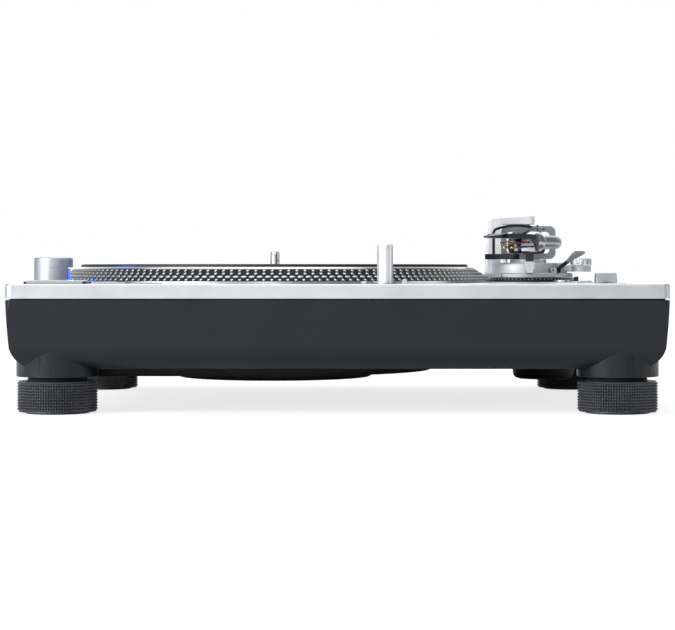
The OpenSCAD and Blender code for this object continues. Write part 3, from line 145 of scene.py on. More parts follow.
def refine(node, bevel):
    """A CAD node's form with its flat faces joined, smooth walls and a small round on its edges.

    TWO_TONE has (height in mm, finish) for some nodes: their faces above that height get that finish.
    """
    source = frame["nodes"][node]
    piece = source.copy()
    piece.data = source.data.copy()
    piece.data.materials.clear()
    piece.name = piece.data.name = node + "_dressed"
    height, *upper = TWO_TONE.get(node, (math.inf,))
    work = bmesh.new()
    work.from_mesh(piece.data)
    bmesh.ops.remove_doubles(work, verts=work.verts, dist=MERGE)
    bmesh.ops.dissolve_limit(work, angle_limit=math.radians(0.6), verts=work.verts, edges=work.edges)
    for face in work.faces:
        face.material_index = int(face.calc_center_median().z > height * MM)
    work.to_mesh(piece.data)
    work.free()
    bpy.context.scene.collection.objects.link(piece)
    finishes = [OTHER_FINISH.get(node, SLOT_OF[node]), *upper]
    settle(piece, finishes, BODY_OF[node], (node,), CREASED.get(node, 30.0), bevel)


def revolve(profile, centre, segments):
    """A profile of (radius, height) points carried round an upright axis at centre (x, y)."""
    profile = np.asarray(profile, float)
    turn = np.linspace(0, 2 * math.pi, segments, endpoint=False)[:, None]
    radius, height = profile[None, :, 0], profile[None, :, 1]
    points = np.stack([centre[0] + radius * np.cos(turn), centre[1] + radius * np.sin(turn),
                       height + 0 * turn], axis=-1)
    return points.reshape(-1, 3), grid_faces(segments, len(profile), closed_rows=True)


def on_cylinder(radius, turn, height):
    """The points of an upright cylinder at each height and turn, one height after the other."""
    turn, height = np.meshgrid(turn, height)
    return np.stack([radius * np.cos(turn), radius * np.sin(turn), height], axis=-1).reshape(-1, 3)


def sweep(path, radius, sides):
    """A tube: at each point of the path a circle of that point's radius stands square to the path."""
    path = np.asarray(path, float)
    ahead = np.gradient(path, axis=0)
    ahead /= np.linalg.norm(ahead, axis=1, keepdims=True)
    up = np.array([0.0, 0.0, 1.0]) if np.abs(ahead[:, 2]).max() < 0.9 else np.array([0.0, 1.0, 0.0])
    side = np.cross(ahead, up)
    side /= np.linalg.norm(side, axis=1, keepdims=True)
    over = np.cross(side, ahead)
    turn = np.linspace(0, 2 * math.pi, sides, endpoint=False)
    radius = np.broadcast_to(np.asarray(radius, float).reshape(-1, 1, 1), (len(path), 1, 1))
    points = (path[:, None, :] + radius * (side[:, None, :] * np.cos(turn)[None, :, None]
                                           + over[:, None, :] * np.sin(turn)[None, :, None])).reshape(-1, 3)
    faces = grid_faces(len(path), sides, closed_columns=True).tolist()
    return points, faces + [list(range(sides)), list(range(len(points) - sides, len(points)))]


def prism(outline, bottom, top):
    """An outline of (x, y) points raised from one height to another, closed by two flat faces."""
    outline = np.asarray(outline, float)
    count = len(outline)
    points = np.concatenate([np.column_stack([outline, np.full(count, height)]) for height in (bottom, top)])
    faces = grid_faces(2, count, closed_columns=True).tolist()
    return points, faces + [list(range(count)), list(range(count, 2 * count))]


def turned(points, angle):
    """Points turned about the upright axis through the origin."""
    points = np.array(points, float)
    x, y = points[:, :2].T.copy()
    points[:, 0] = x * math.cos(angle) - y * math.sin(angle)
    points[:, 1] = x * math.sin(angle) + y * math.cos(angle)
    return points


def walk(length, heading):
    """Across and ahead after each step: sums of the step times the sine and cosine of its mean heading."""
    middle, step = (heading[1:] + heading[:-1]) / 2, np.diff(length)
    return [np.concatenate([[0], np.cumsum(step * way)]) for way in (np.sin(middle), np.cos(middle))]


def at_arm(surface):
    """From the parked arm's own frame, which points along -Y from the pivot, to the deck's."""
    return turned(surface[0], PARK) + [PIVOT_X, PIVOT_Y, PIVOT_Z], surface[1]


def arm_route():
    """The S-shaped tube's middle line in the arm's frame: straight, arc, straight, arc, straight.

    Each stretch is (length, turn), and an arc's heading grows evenly along its length.
    """
    first, second, step = math.radians(19.8), math.radians(49.2), 2.0
    stretches = np.array([(75.0, 0.0), (50 * first, first), (32.6, 0.0), (40 * second, -second), (27.4, 0.0)])
    knots, headings = np.concatenate([[[0, 0]], np.cumsum(stretches, axis=0)]).T
    along = np.unique(np.concatenate([np.arange(0, knots[-1], step / 10), knots]))
    x, ahead = walk(along, np.interp(along, knots, headings))
    keep = np.linspace(0, len(along) - 1, int(knots[-1] / step) + 1).astype(int)
    return np.stack([x[keep], -ahead[keep], 0 * x[keep]], axis=-1), headings[-1]


ARM_PATH, SHELL_HEADING = arm_route()


def at_shell(surface):
    """From the headshell's frame, which points along -Y from the tube's end, to the deck's."""
    points = turned(surface[0], SHELL_HEADING) + ARM_PATH[-1] + [0, 0, -TUBE_DROP]
    return at_arm((points, surface[1]))


# Materials


def linear(code):
    """An sRGB hex colour as linear red, green, blue and a full alpha."""
    part = np.array([int(code[i:i + 2], 16) / 255 for i in (1, 3, 5)])
    part = np.where(part <= 0.04045, part / 12.92, ((part + 0.055) / 1.055) ** 2.4)
    return (*part.tolist(), 1.0)


def add(tree, kind, links=None, **settings):
    """A node with its settings. links maps an input to a value or to another node's output."""
    node = tree.nodes.new(kind)
    for key, value in settings.items():
        setattr(node, key, value)
    for key, value in (links or {}).items():
        if isinstance(value, bpy.types.NodeSocket):
            tree.links.new(value, node.inputs[key])
        else:
            node.inputs[key].default_value = value
    return node


def base(name, colour, metallic, roughness, **sockets):
    """A new material, its nodes and its shader, with the even values on the shader's own sockets."""
    made = bpy.data.materials.new(name)
    made.use_nodes = True
    shader = made.node_tree.nodes["Principled BSDF"]
    values = {"Base Color": linear(colour), "Metallic": metallic, "Roughness": roughness, **sockets}
    for key, value in values.items():
        shader.inputs[key].default_value = value
    return made, made.node_tree, shader


def lit(colour, strength):
    """The light that a surface gives off by itself, as values for its shader's sockets."""
    return {"Emission Color": linear(colour), "Emission Strength": strength}


def place(tree, centre=(0, 0, 0), scale=(1, 1, 1)):
    """Object coordinates about a centre in mm, then scaled."""
    where = add(tree, "ShaderNodeTexCoord").outputs["Object"]
    moved = add(tree, "ShaderNodeVectorMath", {0: where, 1: tuple(-c * MM for c in centre)}, operation="ADD")
    return add(tree, "ShaderNodeMapping", {"Vector": moved.outputs[0], "Scale": scale}).outputs[0]


def tint(tree, shader, factor, dark, light):
    """The base colour runs from dark to light as the pattern grows."""
    mix = add(tree, "ShaderNodeMix", {"Factor": factor, "A": linear(dark), "B": linear(light)},
              data_type="RGBA")
    tree.links.new(mix.outputs["Result"], shader.inputs["Base Color"])


def relief(tree, shader, height, depth):
    """Bump of a real depth in millimetres from a pattern between 0 and 1."""
    bump = add(tree, "ShaderNodeBump", {"Height": height, "Distance": depth * MM})
    tree.links.new(bump.outputs[0], shader.inputs["Normal"])


def roughen(tree, shader, factor, low, high):
    """The roughness runs from low to high as the pattern grows."""
    span = add(tree, "ShaderNodeMapRange", {"Value": factor, "To Min": low, "To Max": high})
    tree.links.new(span.outputs[0], shader.inputs["Roughness"])


def grained(name, dark, light, metallic, rough, grit, depth, patch=24.0, **sockets):
    """Fine grit of a size in mm under slow cloudy change, as on blasted, cast or moulded faces."""
    made, tree, shader = base(name, light, metallic, sum(rough) / 2, **sockets)
    where = place(tree)
    fine = add(tree, "ShaderNodeTexNoise", {"Vector": where, "Scale": 1000 / grit, "Detail": 3.0,
                                            "Roughness": 0.6})
    cloud = add(tree, "ShaderNodeTexNoise", {"Vector": where, "Scale": 1000 / patch})
    both = add(tree, "ShaderNodeMath", {0: fine.outputs[0], 1: cloud.outputs[0]}, operation="MULTIPLY")
    level = add(tree, "ShaderNodeMapRange", {"Value": both.outputs[0], "From Min": 0.12, "From Max": 0.4})
    tint(tree, shader, level.outputs[0], dark, light)
    roughen(tree, shader, cloud.outputs[0], *rough)
    relief(tree, shader, fine.outputs[0], depth)
    return made


def lathed(name, dark, light, rough, centre, pitch, depth):
    """Fine rings about a centre, as a turning tool leaves them: noise read along the radius."""
    made, tree, shader = base(name, light, 1.0, sum(rough) / 2)
    split = add(tree, "ShaderNodeSeparateXYZ", {0: place(tree, centre)})
    flat = add(tree, "ShaderNodeCombineXYZ", {0: split.outputs[0], 1: split.outputs[1]})
    radius = add(tree, "ShaderNodeVectorMath", {0: flat.outputs[0]}, operation="LENGTH")
    along = add(tree, "ShaderNodeMath", {0: radius.outputs["Value"], 1: split.outputs[2]}, operation="ADD")
    rings = add(tree, "ShaderNodeTexNoise", {"W": along.outputs[0], "Scale": 1000 / pitch},
                noise_dimensions="1D")
    tint(tree, shader, rings.outputs[0], dark, light)
    roughen(tree, shader, rings.outputs[0], *rough)
    relief(tree, shader, rings.outputs[0], depth)
    return made


def brushed(name, dark, light, rough, pitch, length, depth):
    """Straight fine scratches along X: noise that is stretched along the brushing."""
    made, tree, shader = base(name, light, 1.0, sum(rough) / 2)
    where = place(tree, scale=(1000 / length, 1000 / pitch, 1000 / pitch))
    lines = add(tree, "ShaderNodeTexNoise", {"Vector": where, "Scale": 1.0, "Detail": 3.0, "Roughness": 0.7})
    tint(tree, shader, lines.outputs[0], dark, light)
    roughen(tree, shader, lines.outputs[0], *rough)
    relief(tree, shader, lines.outputs[0], depth)
    return made


FINISHES, MADE = {}, {}


def listed(maker):
    """Lists a function that makes a finish under the function's name."""
    FINISHES[maker.__name__] = maker
    return maker


def material(name):
    """The named finish, made once."""
    if name not in MADE:
        MADE[name] = FINISHES[name]()
    return MADE[name]


@listed
def deck_aluminium():
    """Anodised sheet aluminium, bead-blasted: an even pale silver with soft, wide highlights."""
    return grained("bead_blasted_anodised_deck", "#C8CBD1", "#D4D7DC", 0.9, (0.278, 0.3), 0.35, 0.002)


@listed
def base_plastic():
    """Moulded heavy-fill resin with a fine spark texture: charcoal with a faint blue, soft sheen."""
    return grained("moulded_charcoal_base", "#0C1015", "#12171D", 0.0, (0.3, 0.38), 0.8, 0.015, IOR=1.38)


@listed
def cover_plastic():
    """Moulded ABS with a coarser texture, on the underside: near black and duller."""
    return grained("moulded_black_cover", "#040506", "#08090B", 0.0, (0.5, 0.62), 1.0, 0.03, IOR=1.36)


@listed
def cast_aluminium():
    """Die-cast aluminium as cast: grey, faintly mottled, rough."""
    return grained("die_cast_aluminium", "#7C7F84", "#9DA0A5", 1.0, (0.45, 0.62), 1.2, 0.04)


@listed
def circuit_board():
    """Glass-fibre board under green solder mask, with the glass weave just showing."""
    made, tree, shader = base("green_solder_mask", "#155230", 0.0, 0.3, IOR=1.5)
    where = place(tree, scale=(1, 1, 0))
    weave = add(tree, "ShaderNodeTexBrick", {"Vector": where, "Scale": 1000 / 3.0, "Mortar Size": 0.06})
    tint(tree, shader, weave.outputs["Fac"], "#155230", "#1D6A40")
    relief(tree, shader, weave.outputs["Fac"], 0.03)
    return made


@listed
def copper_wire():
    """Enamelled copper winding: brown-orange turns side by side under clear enamel."""
    made, tree, shader = base("enamelled_copper_winding", "#A45A2A", 0.6, 0.3, **{"Coat Weight": 0.5})
    rows = add(tree, "ShaderNodeTexWave", {"Vector": place(tree), "Scale": 1000 / 3.2 / 6.28,
                                           "Distortion": 0.6}, bands_direction="Z")
    tint(tree, shader, rows.outputs["Fac"], "#6E3514", "#B96A34")
    relief(tree, shader, rows.outputs["Fac"], 0.2)
    return made


@listed
def brass_bearing():
    """Turned bearing brass: warm yellow with fine tool rings."""
    return lathed("turned_bearing_brass", "#A88840", "#C9A85C", (0.2, 0.27), (PLATTER_X, 0, 0), 0.3, 0.01)


@listed
def thrust_plastic():
    """Machined acetal: milky white, waxy, smooth."""
    return grained("machined_acetal", "#DCDCD2", "#ECECE4", 0.0, (0.3, 0.38), 0.6, 0.004, IOR=1.48)


@listed
def tower_aluminium():
    """Anodised bar aluminium, finely blasted: satin silver."""
    return grained("satin_anodised_tower", "#A4A8B0", "#BEC2CA", 0.95, (0.4, 0.5), 0.3, 0.006)


@listed
def strobe_glass():
    """Clear acrylic window over a blue diode: lit blue from inside."""
    made, tree, shader = base("blue_lit_acrylic", "#3C64FF", 0.0, 0.12, IOR=1.49, **lit("#3D62FF", 1.6))
    haze = add(tree, "ShaderNodeTexNoise", {"Vector": place(tree), "Scale": 1000 / 4.0})
    tint(tree, shader, haze.outputs[0], "#2C50E8", "#6C8CFF")
    roughen(tree, shader, haze.outputs[0], 0.08, 0.2)
    return made


@listed
def black_plastic():
    """Moulded ABS, fine satin texture: black."""
    return grained("moulded_satin_black", "#101113", "#1B1C1F", 0.0, (0.34, 0.46), 0.5, 0.01, IOR=1.53)


@listed
def brushed_trim():
    """Brushed and anodised aluminium for keys and plates: straight fine lines from left to right."""
    return brushed("brushed_anodised_keys", "#A4A6AA", "#D2D4D7", (0.28, 0.38), 0.18, 9.0, 0.008)


@listed
def bright_trim():
    """Turned and lightly polished aluminium for small fittings."""
    return grained("polished_small_fittings", "#B2B4B8", "#D9DADD", 1.0, (0.16, 0.26), 0.25, 0.004)


@listed
def gold_plate():
    """Gold flash over brass for contacts: warm, bright, smooth."""
    return grained("gold_flashed_contacts", "#B98B34", "#E0B75A", 1.0, (0.14, 0.24), 0.3, 0.003)


@listed
def platter_aluminium():
    """Cast platter, turned and anodised dark: grey with fine rings."""
    return lathed("turned_dark_platter", "#090A0D", "#15171B", (0.28, 0.4), (PLATTER_X, 0, 0), 0.35, 0.01)


@listed
def platter_lip():
    """The platter's lip and bevel, turned bright after anodising."""
    return lathed("turned_bright_platter_lip", "#B9BBBE", "#E2E3E5", (0.12, 0.22), (PLATTER_X, 0, 0), 0.3,
                  0.004)


@listed
def strobe_dot():
    """Dots left bright where the dark anodising was milled through: domed, near-mirror aluminium."""
    return grained("bright_milled_dots", "#A6A9B0", "#C8CBD2", 1.0, (0.2, 0.27), 0.3, 0.003)


@listed
def magnet_iron():
    """Sintered ferrite: near black, fine grained, dull."""
    return grained("sintered_ferrite", "#202124", "#333539", 0.2, (0.5, 0.65), 0.4, 0.01)


@listed
def mat_rubber():
    """Moulded rubber: deep black, low sheen, with a talc-like bloom in places."""
    return grained("moulded_mat_rubber", "#0A0A0D", "#131317", 0.0, (0.38, 0.55), 0.5, 0.01, patch=60.0,
                   IOR=1.45)


@listed
def polished_steel():
    """Turned and polished steel: bright, with the faintest tool rings."""
    return grained("polished_steel", "#C6C8CA", "#E6E7E9", 1.0, (0.06, 0.12), 0.2, 0.002)


@listed
def lamp_tube():
    """Drawn tube for the stylus lamp under satin plating: bright, with a soft sheen."""
    return grained("satin_plated_lamp_tube", "#E4E5E8", "#F4F5F7", 0.75, (0.28, 0.33), 0.25, 0.002)


@listed
def lamp_glass():
    """Frosted polycarbonate over the lamp: warm white."""
    return grained("frosted_lamp_cover", "#E8E2D2", "#FBF7EC", 0.0, (0.4, 0.5), 0.4, 0.01, IOR=1.58,
                   **lit("#FFF4DC", 0.5))


@listed
def foot_rubber():
    """Moulded nitrile foot with a resin ring: dark grey, satin."""
    return grained("knurled_foot_resin", "#26282B", "#3B3D41", 0.1, (0.32, 0.44), 0.4, 0.008, IOR=1.52)


@listed
def knurl_tips():
    """The knurls' flat tips, painted lighter as a highlight on each tip."""
    return grained("knurl_tips_painted_highlight", "#5A5D63", "#8D9096", 0.3, (0.28, 0.36), 0.4, 0.004, IOR=1.52)


@listed
def black_anodised():
    """Black-anodised turned aluminium: soft black with a metal sheen."""
    return grained("black_anodised_aluminium", "#121316", "#222429", 0.7, (0.3, 0.42), 0.3, 0.005)


@listed
def cast_silver():
    """Machined and satin-anodised arm castings: mid silver."""
    return grained("satin_machined_arm_base", "#B2B5BA", "#CACDD1", 0.7, (0.44, 0.52), 0.3, 0.005)


@listed
def yoke_silver():
    """The yoke's fine bead-blasted silver, paler than its surroundings: own tone plus painted light."""
    return grained("blasted_yoke_painted_light", "#DCDDE1", "#EAEBEE", 0.2, (0.4, 0.5), 0.35, 0.008)


@listed
def grey_metal():
    """Grey satin paint on the cue lever's pressed paddle."""
    return grained("grey_satin_paddle", "#84878C", "#A4A7AC", 0.3, (0.3, 0.4), 0.3, 0.005)


@listed
def dark_lever():
    """Dark grey anodising on the finger lift's bent strip."""
    return grained("dark_anodised_finger_lift", "#3A3C41", "#54565B", 0.8, (0.3, 0.4), 0.3, 0.005)


@listed
def gimbal_grey():
    """The gimbal ring's grey anodising over machined faces."""
    return grained("grey_anodised_gimbal", "#6C6F74", "#8A8D92", 0.95, (0.3, 0.42), 0.3, 0.006)


@listed
def tube_aluminium():
    """Drawn aluminium tube, satin-anodised: fine lines round it are gone, only a soft sheen is left."""
    return grained("satin_drawn_tube", "#A3A5A9", "#C3C5C8", 1.0, (0.28, 0.34), 0.25, 0.004)


@listed
def polished_collar():
    """The locking collar, turned and polished bright."""
    return grained("polished_locking_collar", "#B5B7BA", "#E2E3E5", 1.0, (0.1, 0.18), 0.2, 0.003)


@listed
def shell_grey():
    """The headshell's dark grey anodising on cast aluminium."""
    return grained("dark_anodised_headshell", "#2A2B2F", "#3D3F44", 0.75, (0.32, 0.44), 0.35, 0.008)


@listed
def lead_wires():
    """Soft wire sleeve, red."""
    return wire_sleeve("red", "#8E1712", "#C22A20")


def wire_sleeve(colour, dark, light):
    """Extruded vinyl sleeve on litz wire: slightly glossy, with the strands' faint ripple."""
    return grained(colour + "_wire_sleeve", dark, light, 0.0, (0.34, 0.46), 0.4, 0.03, patch=3.0, IOR=1.53)


@listed
def green_wire():
    """Soft wire sleeve, green."""
    return wire_sleeve("green", "#0E5A34", "#1C8650")


@listed
def blue_wire():
    """Soft wire sleeve, blue."""
    return wire_sleeve("blue", "#173A86", "#2C5CC0")


@listed
def white_wire():
    """Soft wire sleeve, white."""
    return wire_sleeve("white", "#C9C9C4", "#EEEEEA")


@listed
def white_insulator():
    """Moulded nylon plug face: plain white, faintly waxy."""
    return grained("white_nylon_insulator", "#DADAD6", "#F2F2EF", 0.0, (0.35, 0.45), 0.4, 0.004, IOR=1.53)


@listed
def weight_grey():
    """Turned steel counterweight in dark satin paint."""
    return grained("dark_satin_counterweight", "#2B2C30", "#3E4045", 0.8, (0.3, 0.42), 0.35, 0.006)


@listed
def dial_marks():
    """Pale screen-printed marks on the dials."""
    return grained("pale_printed_marks", "#C4C5C7", "#E3E4E6", 0.0, (0.45, 0.55), 0.3, 0.002, IOR=1.5)


@listed
def dark_marks():
    """Dark screen-printed marks on the silver deck."""
    return grained("dark_printed_marks", "#232427", "#34363A", 0.0, (0.45, 0.55), 0.3, 0.002, IOR=1.5)


@listed
def adaptor_aluminium():
    """The wide-hole adaptor, turned bright: fine rings about its hole."""
    return lathed("turned_adaptor", "#A9ABAE", "#D9DADC", (0.18, 0.27), (-189, 140, 0), 0.4, 0.01)


# The record's nearest finish for each that it has no name for.
SLOT_OF = {part["node"]: part["material_slot"] for part in frame["record"]["subparts"]}
BODY_OF = {node: body for body, nodes in frame["record"]["behaviour"]["bodies"].items() for node in nodes}
OTHER_FINISH = {"finger_lift": "dark_lever", "cue_lever": "black_anodised", "stylus_lamp": "lamp_tube"}
TWO_TONE = {"armrest": (105.7, "black_plastic"), "cue_lever": (105.2, "grey_metal")}
CREASED = {"base_shell": 6.0}


# Pieces


def dress(**bevels):
    """Each named CAD form with its finish and a round of so many millimetres on its edges."""
    for node, bevel in bevels.items():
        refine(node, bevel)


# The rows of dots from the lip up: how many there are, and half the width of one.
DOT_ROWS = ((186, 1.15), (180, 2.1), (174, 1.25), (170, 1.15))


def platter(dot_height):
    """The turned platter: a profile round its axis, and the rows of milled dots on its rim."""
    lip_top, bevel, groove, rows, centre = DECK_TOP + 1.7, 1.4, 0.54, len(DOT_ROWS), (PLATTER_X, 0)
    taper = PLATTER_TOP - bevel - lip_top
    run = PLATTER_R - PLATTER_TOP_R - bevel
    bore, hub_bottom, bottom, web = 4.22, DECK_TOP + 0.5, DECK_TOP - 0.8, PLATTER_TOP - 5
    under = [(bore, hub_bottom), (22, hub_bottom), (22, web), (149, web), (149, bottom),
             (PLATTER_R - 0.5, bottom)]
    lip = [under[-1], (PLATTER_R, bottom + 0.5), (PLATTER_R, lip_top), (PLATTER_R - groove, lip_top)]
    bands = [(PLATTER_R - run * (i + s) / rows - groove * (1 - s), lip_top + taper * (i + s) / rows)
             for i in range(rows) for s in (0, 1)]
    edge = [bands[-1], (PLATTER_TOP_R + 0.3, PLATTER_TOP - 0.25), (PLATTER_TOP_R - 0.3, PLATTER_TOP)]
    top = [edge[-1], (146, PLATTER_TOP), (bore, PLATTER_TOP), (bore, hub_bottom)]
    casting = join(*(revolve(profile, centre, 256) for profile in (under, bands, top)))
    make("platter_casting", casting, "platter_aluminium", "platter_body", ("platter",), outward=False)
    bright = join(*(revolve(profile, centre, 256) for profile in (lip, edge)))
    make("platter_bright_lip", bright, "platter_lip", "platter_body", ("platter",), outward=False)
    dots = [dot_row(count, (low + high) / 2, high - low, half_w, dot_height, centre)
            for (count, half_w), low, high in zip(DOT_ROWS, np.array(bands[::2]), np.array(bands[1::2]))]
    make("platter_dots", join(*dots), "strobe_dot", "platter_body", ("platter",), sharp=60)


def dot_row(count, middle, slope, half_w, height, centre):
    """Domed ellipses round the rim: a ring of edge points, a raised ring at 0.6 of it, and a crown."""
    slope = slope / np.linalg.norm(slope)
    out = np.array([slope[1], -slope[0]])
    half_h, sides, inner, sunk = 1.28, 12, 0.6, 0.05
    turn = np.linspace(0, 2 * math.pi, sides, endpoint=False)
    across = half_w * np.concatenate([np.cos(turn), inner * np.cos(turn), [0]])
    up = half_h * np.concatenate([np.sin(turn), inner * np.sin(turn), [0]])
    lift = np.repeat([-sunk, 0.8 * height, height], [sides, sides, 1])
    radius = middle[0] + slope[0] * up + out[0] * lift
    z = middle[1] + slope[1] * up + out[1] * lift
    at = 2 * math.pi * np.arange(count)[:, None] / count
    x = centre[0] + radius * np.cos(at) - across * np.sin(at)
    y = centre[1] + radius * np.sin(at) + across * np.cos(at)
    points = np.stack([x, y, np.broadcast_to(z, x.shape)], axis=-1)
    one = grid_faces(2, sides, closed_columns=True).tolist()
    one += [[sides + k, sides + (k + 1) % sides, 2 * sides] for k in range(sides)]
    faces = [[index + len(lift) * i for index in face] for i in range(count) for face in one]
    return points.reshape(-1, 3), faces


def button_surround():
    """The start key's black surround: two side walls, a back wall, a floor, and a front rim at deck level."""
    left, front, width, depth, wall = -DECK_W / 2 + 11.05, -DECK_D / 2 + 12.5, 42.5, 37, 1.7
    low, high, rim, floor = DECK_TOP - 9.9, DECK_TOP + 1.6, DECK_TOP + 0.2, DECK_TOP - 7.5
    right, back = left + width, front + depth
    walls = [box((left, front + 2, low), (left + wall, back, high)),
             box((right - wall, front + 2, low), (right, back, high)),
             box((left + wall, back - wall, low), (right - wall, back, high)),
             box((left, front, low), (right, front + wall, rim)),
             box((left + wall, front + wall, low), (right - wall, back - wall, floor))]
    make("button_surround_walls", join(*walls), "black_plastic", "deck", ("button_frame",), bevel=0.15)


def box(low, high):
    """A box between two opposite corners."""
    (x0, y0, z0), (x1, y1, z1) = low, high
    return prism([(x0, y0), (x1, y0), (x1, y1), (x0, y1)], z0, z1)


def stroke(at, angle, size):
    """One printed stroke: a thin box of (length, width, height), turned in plan and set at a point."""
    points, faces = box((-size[0] / 2, -size[1] / 2, 0), (size[0] / 2, size[1] / 2, size[2]))
    return turned(points, angle) + at, faces


def round_stroke(turn, radius, z, size, centre):
    """A stroke that points along its radius from an upright axis."""
    return stroke((centre[0] + radius * math.cos(turn), centre[1] + radius * math.sin(turn), z), turn, size)


def round_strokes(count, *where):
    """Strokes spread evenly round an upright axis."""
    return join(*(round_stroke(2 * math.pi * i / count, *where) for i in range(count)))


def deck_marks():
    """The pitch scale beside the fader's slot: seventeen strokes to each side, every second one longer."""
    x, y, spacing, reach, marks = DECK_W / 2 - 32, -DECK_D / 2 + 95, 6.25, 8.6, []
    for i in range(-8, 9):
        length, width = 2.4 if i % 2 else 4.0, 0.3 if i else 0.8
        marks += [stroke((x + side * (reach - length / 2), y + spacing * i, DECK_TOP + 0.19), 0,
                         (length, width, 0.05)) for side in (-1, 1)]
    make("pitch_scale", join(*marks), "dark_marks", "deck")


def arm_base_marks():
    """The height scale on its ring, the index on the flange and the strokes on the anti-skate knob."""
    pivot = (PIVOT_X, PIVOT_Y)
    scale = round_strokes(72, 36.5, DECK_TOP + 1.7, (0.12, 0.35, 1.1), pivot)
    make("height_scale", scale, "dial_marks", "height_adjuster")
    index = round_stroke(math.radians(-131), 35.5, DECK_TOP + 3.6, (0.14, 0.9, 2.3), pivot)
    make("height_index", index, "dark_marks", BODY_OF["arm_base"])
    scale = round_strokes(12, 6.4, DECK_TOP + 18.28, (1.6, 0.3, 0.05), KNOB_AT)
    make("antiskate_scale", scale, "dark_marks", "antiskate")


def antiskate_knob():
    """The anti-skate knob: a profile turned round, with flutes where a cosine of the turn draws it in."""
    z, radius, top, flutes, deep = DECK_TOP + 13.4, 8.3, 4.9, 48, 0.2
    profile = np.array([(0, -3.3), (2, -3.3), (2, 0), (radius, 0), (radius, 0.2), (radius, top - 0.7),
                        (radius - 0.6, top), (0, top)]) + [0, z]
    points, faces = revolve(profile, KNOB_AT, 6 * flutes)
    away = points[:, :2] - KNOB_AT
    turn = np.arctan2(away[:, 1], away[:, 0])
    side = (points[:, 2] > z + 0.1) & (points[:, 2] < z + top - 0.4)
    shrink = side * deep / radius * (0.5 - 0.5 * np.cos(flutes * turn))
    points[:, :2] = KNOB_AT + away * (1 - shrink)[:, None]
    make("antiskate_knob_fluted", (points, faces), "bright_trim", "antiskate", ("antiskate_knob",),
         outward=False)


def mat(pitch, depth):
    """The mat: its outline turned round, with ring grooves that follow a cosine along the radius."""
    bottom, top, label, hole, edge = PLATTER_TOP, PLATTER_TOP + 2.1, 52.0, 4.47, 147
    ribbed = np.arange(label + 4, edge - 5, pitch / 6)
    wave = top - depth * (0.5 - 0.5 * np.cos(2 * math.pi * (ribbed - ribbed[0]) / pitch))
    profile = [(hole, bottom), (edge, bottom), (edge, top - 1), (edge - 0.3, top - 0.35), (edge - 1, top),
               (edge - 4, top)]
    profile += list(zip(ribbed[::-1], wave[::-1]))
    profile += [(label, top), (label - 1, top - 0.8), (hole, top - 0.8), (hole, bottom)]
    make("platter_mat_ribbed", revolve(profile, (PLATTER_X, 0), 160), "mat_rubber", "platter_body",
         ("platter_mat",), outward=False, sharp=50)


def foot(node, side_x, side_y, pitch):
    """A foot: a neck and a pad turned round, with rows of four-sided knurls between them."""
    centre = np.array([side_x * FOOT_X, side_y * FOOT_Y, 0])
    radius, low, high, chamfer, tooth, crown = 27.8, 1.2, 22.3, 0.8, 0.95, 0.22
    core, neck_top, thread, thread_top = radius - tooth, 25.2, 6, 33.5
    body = revolve([(0, 0), (22, 0), (22.3, 0.3), (22.3, low), (radius - chamfer, low), (core, low + chamfer),
                    (core, high - chamfer), (radius - chamfer, high), (21.3, high), (19.8, neck_top),
                    (thread, neck_top), (thread, thread_top), (0, thread_top)], centre, 96)
    rows = round((high - low - 2 * chamfer) / (1.08 * pitch))
    columns = int(2 * math.pi * radius / pitch)
    cells = rows * columns
    z = np.linspace(low + chamfer, high - chamfer, rows + 1)
    turn = 2 * math.pi * np.arange(columns) / columns
    half_turn, half_z = math.pi / columns, (z[1] - z[0]) / 2
    points = [on_cylinder(core, turn, z)]
    points += [on_cylinder(radius, turn + half_turn * (1 + side * crown), z[:-1] + half_z * (1 + end * crown))
               for end, side in ((-1, -1), (-1, 1), (1, 1), (1, -1))]
    r, c = np.divmod(np.arange(cells), columns)
    n = (c + 1) % columns
    corner = [r * columns + c, r * columns + n, (r + 1) * columns + n, (r + 1) * columns + c]
    top = [len(points[0]) + k * cells + r * columns + c for k in range(4)]
    faces = [np.stack(top, axis=-1)]
    faces += [np.stack([corner[k], corner[(k + 1) % 4], top[(k + 1) % 4], top[k]], axis=-1) for k in range(4)]
    surface = join(body, (np.concatenate(points) + centre, np.concatenate(faces)))
    # The knurls' tips get the lighter finish: a painted highlight on each tip.
    tips = np.zeros(len(surface[1]), int)
    tips[len(body[1]):len(body[1]) + cells] = 1
    make(node + "_knurled", surface, ["foot_rubber", "knurl_tips"], BODY_OF[node], (node,),
         outward=False, sharp=25, finish_of=tips)


def arm_tube():
    """The S-shaped tube: a circle carried along the straight and curved stretches of its route."""
    path = ARM_PATH[4:] - [0, 0, TUBE_DROP]
    make("arm_tube_drawn", at_arm(sweep(path, TUBE_R, 48)), "tube_aluminium", "arm", ("arm_tube",))


def bezier(p):
    """A cubic Bezier curve: its four control points, weighted by the powers of t and 1 - t."""
    t = np.linspace(0, 1, 28)[:, None]
    p = np.asarray(p, float)
    return (1 - t)**3 * p[0] + 3 * t * (1 - t)**2 * p[1] + 3 * t * t * (1 - t) * p[2] + t**3 * p[3]


LEADS = dict(white_wire="white_wire", green_wire="green_wire", red_wire="lead_wires", blue_wire="blue_wire")


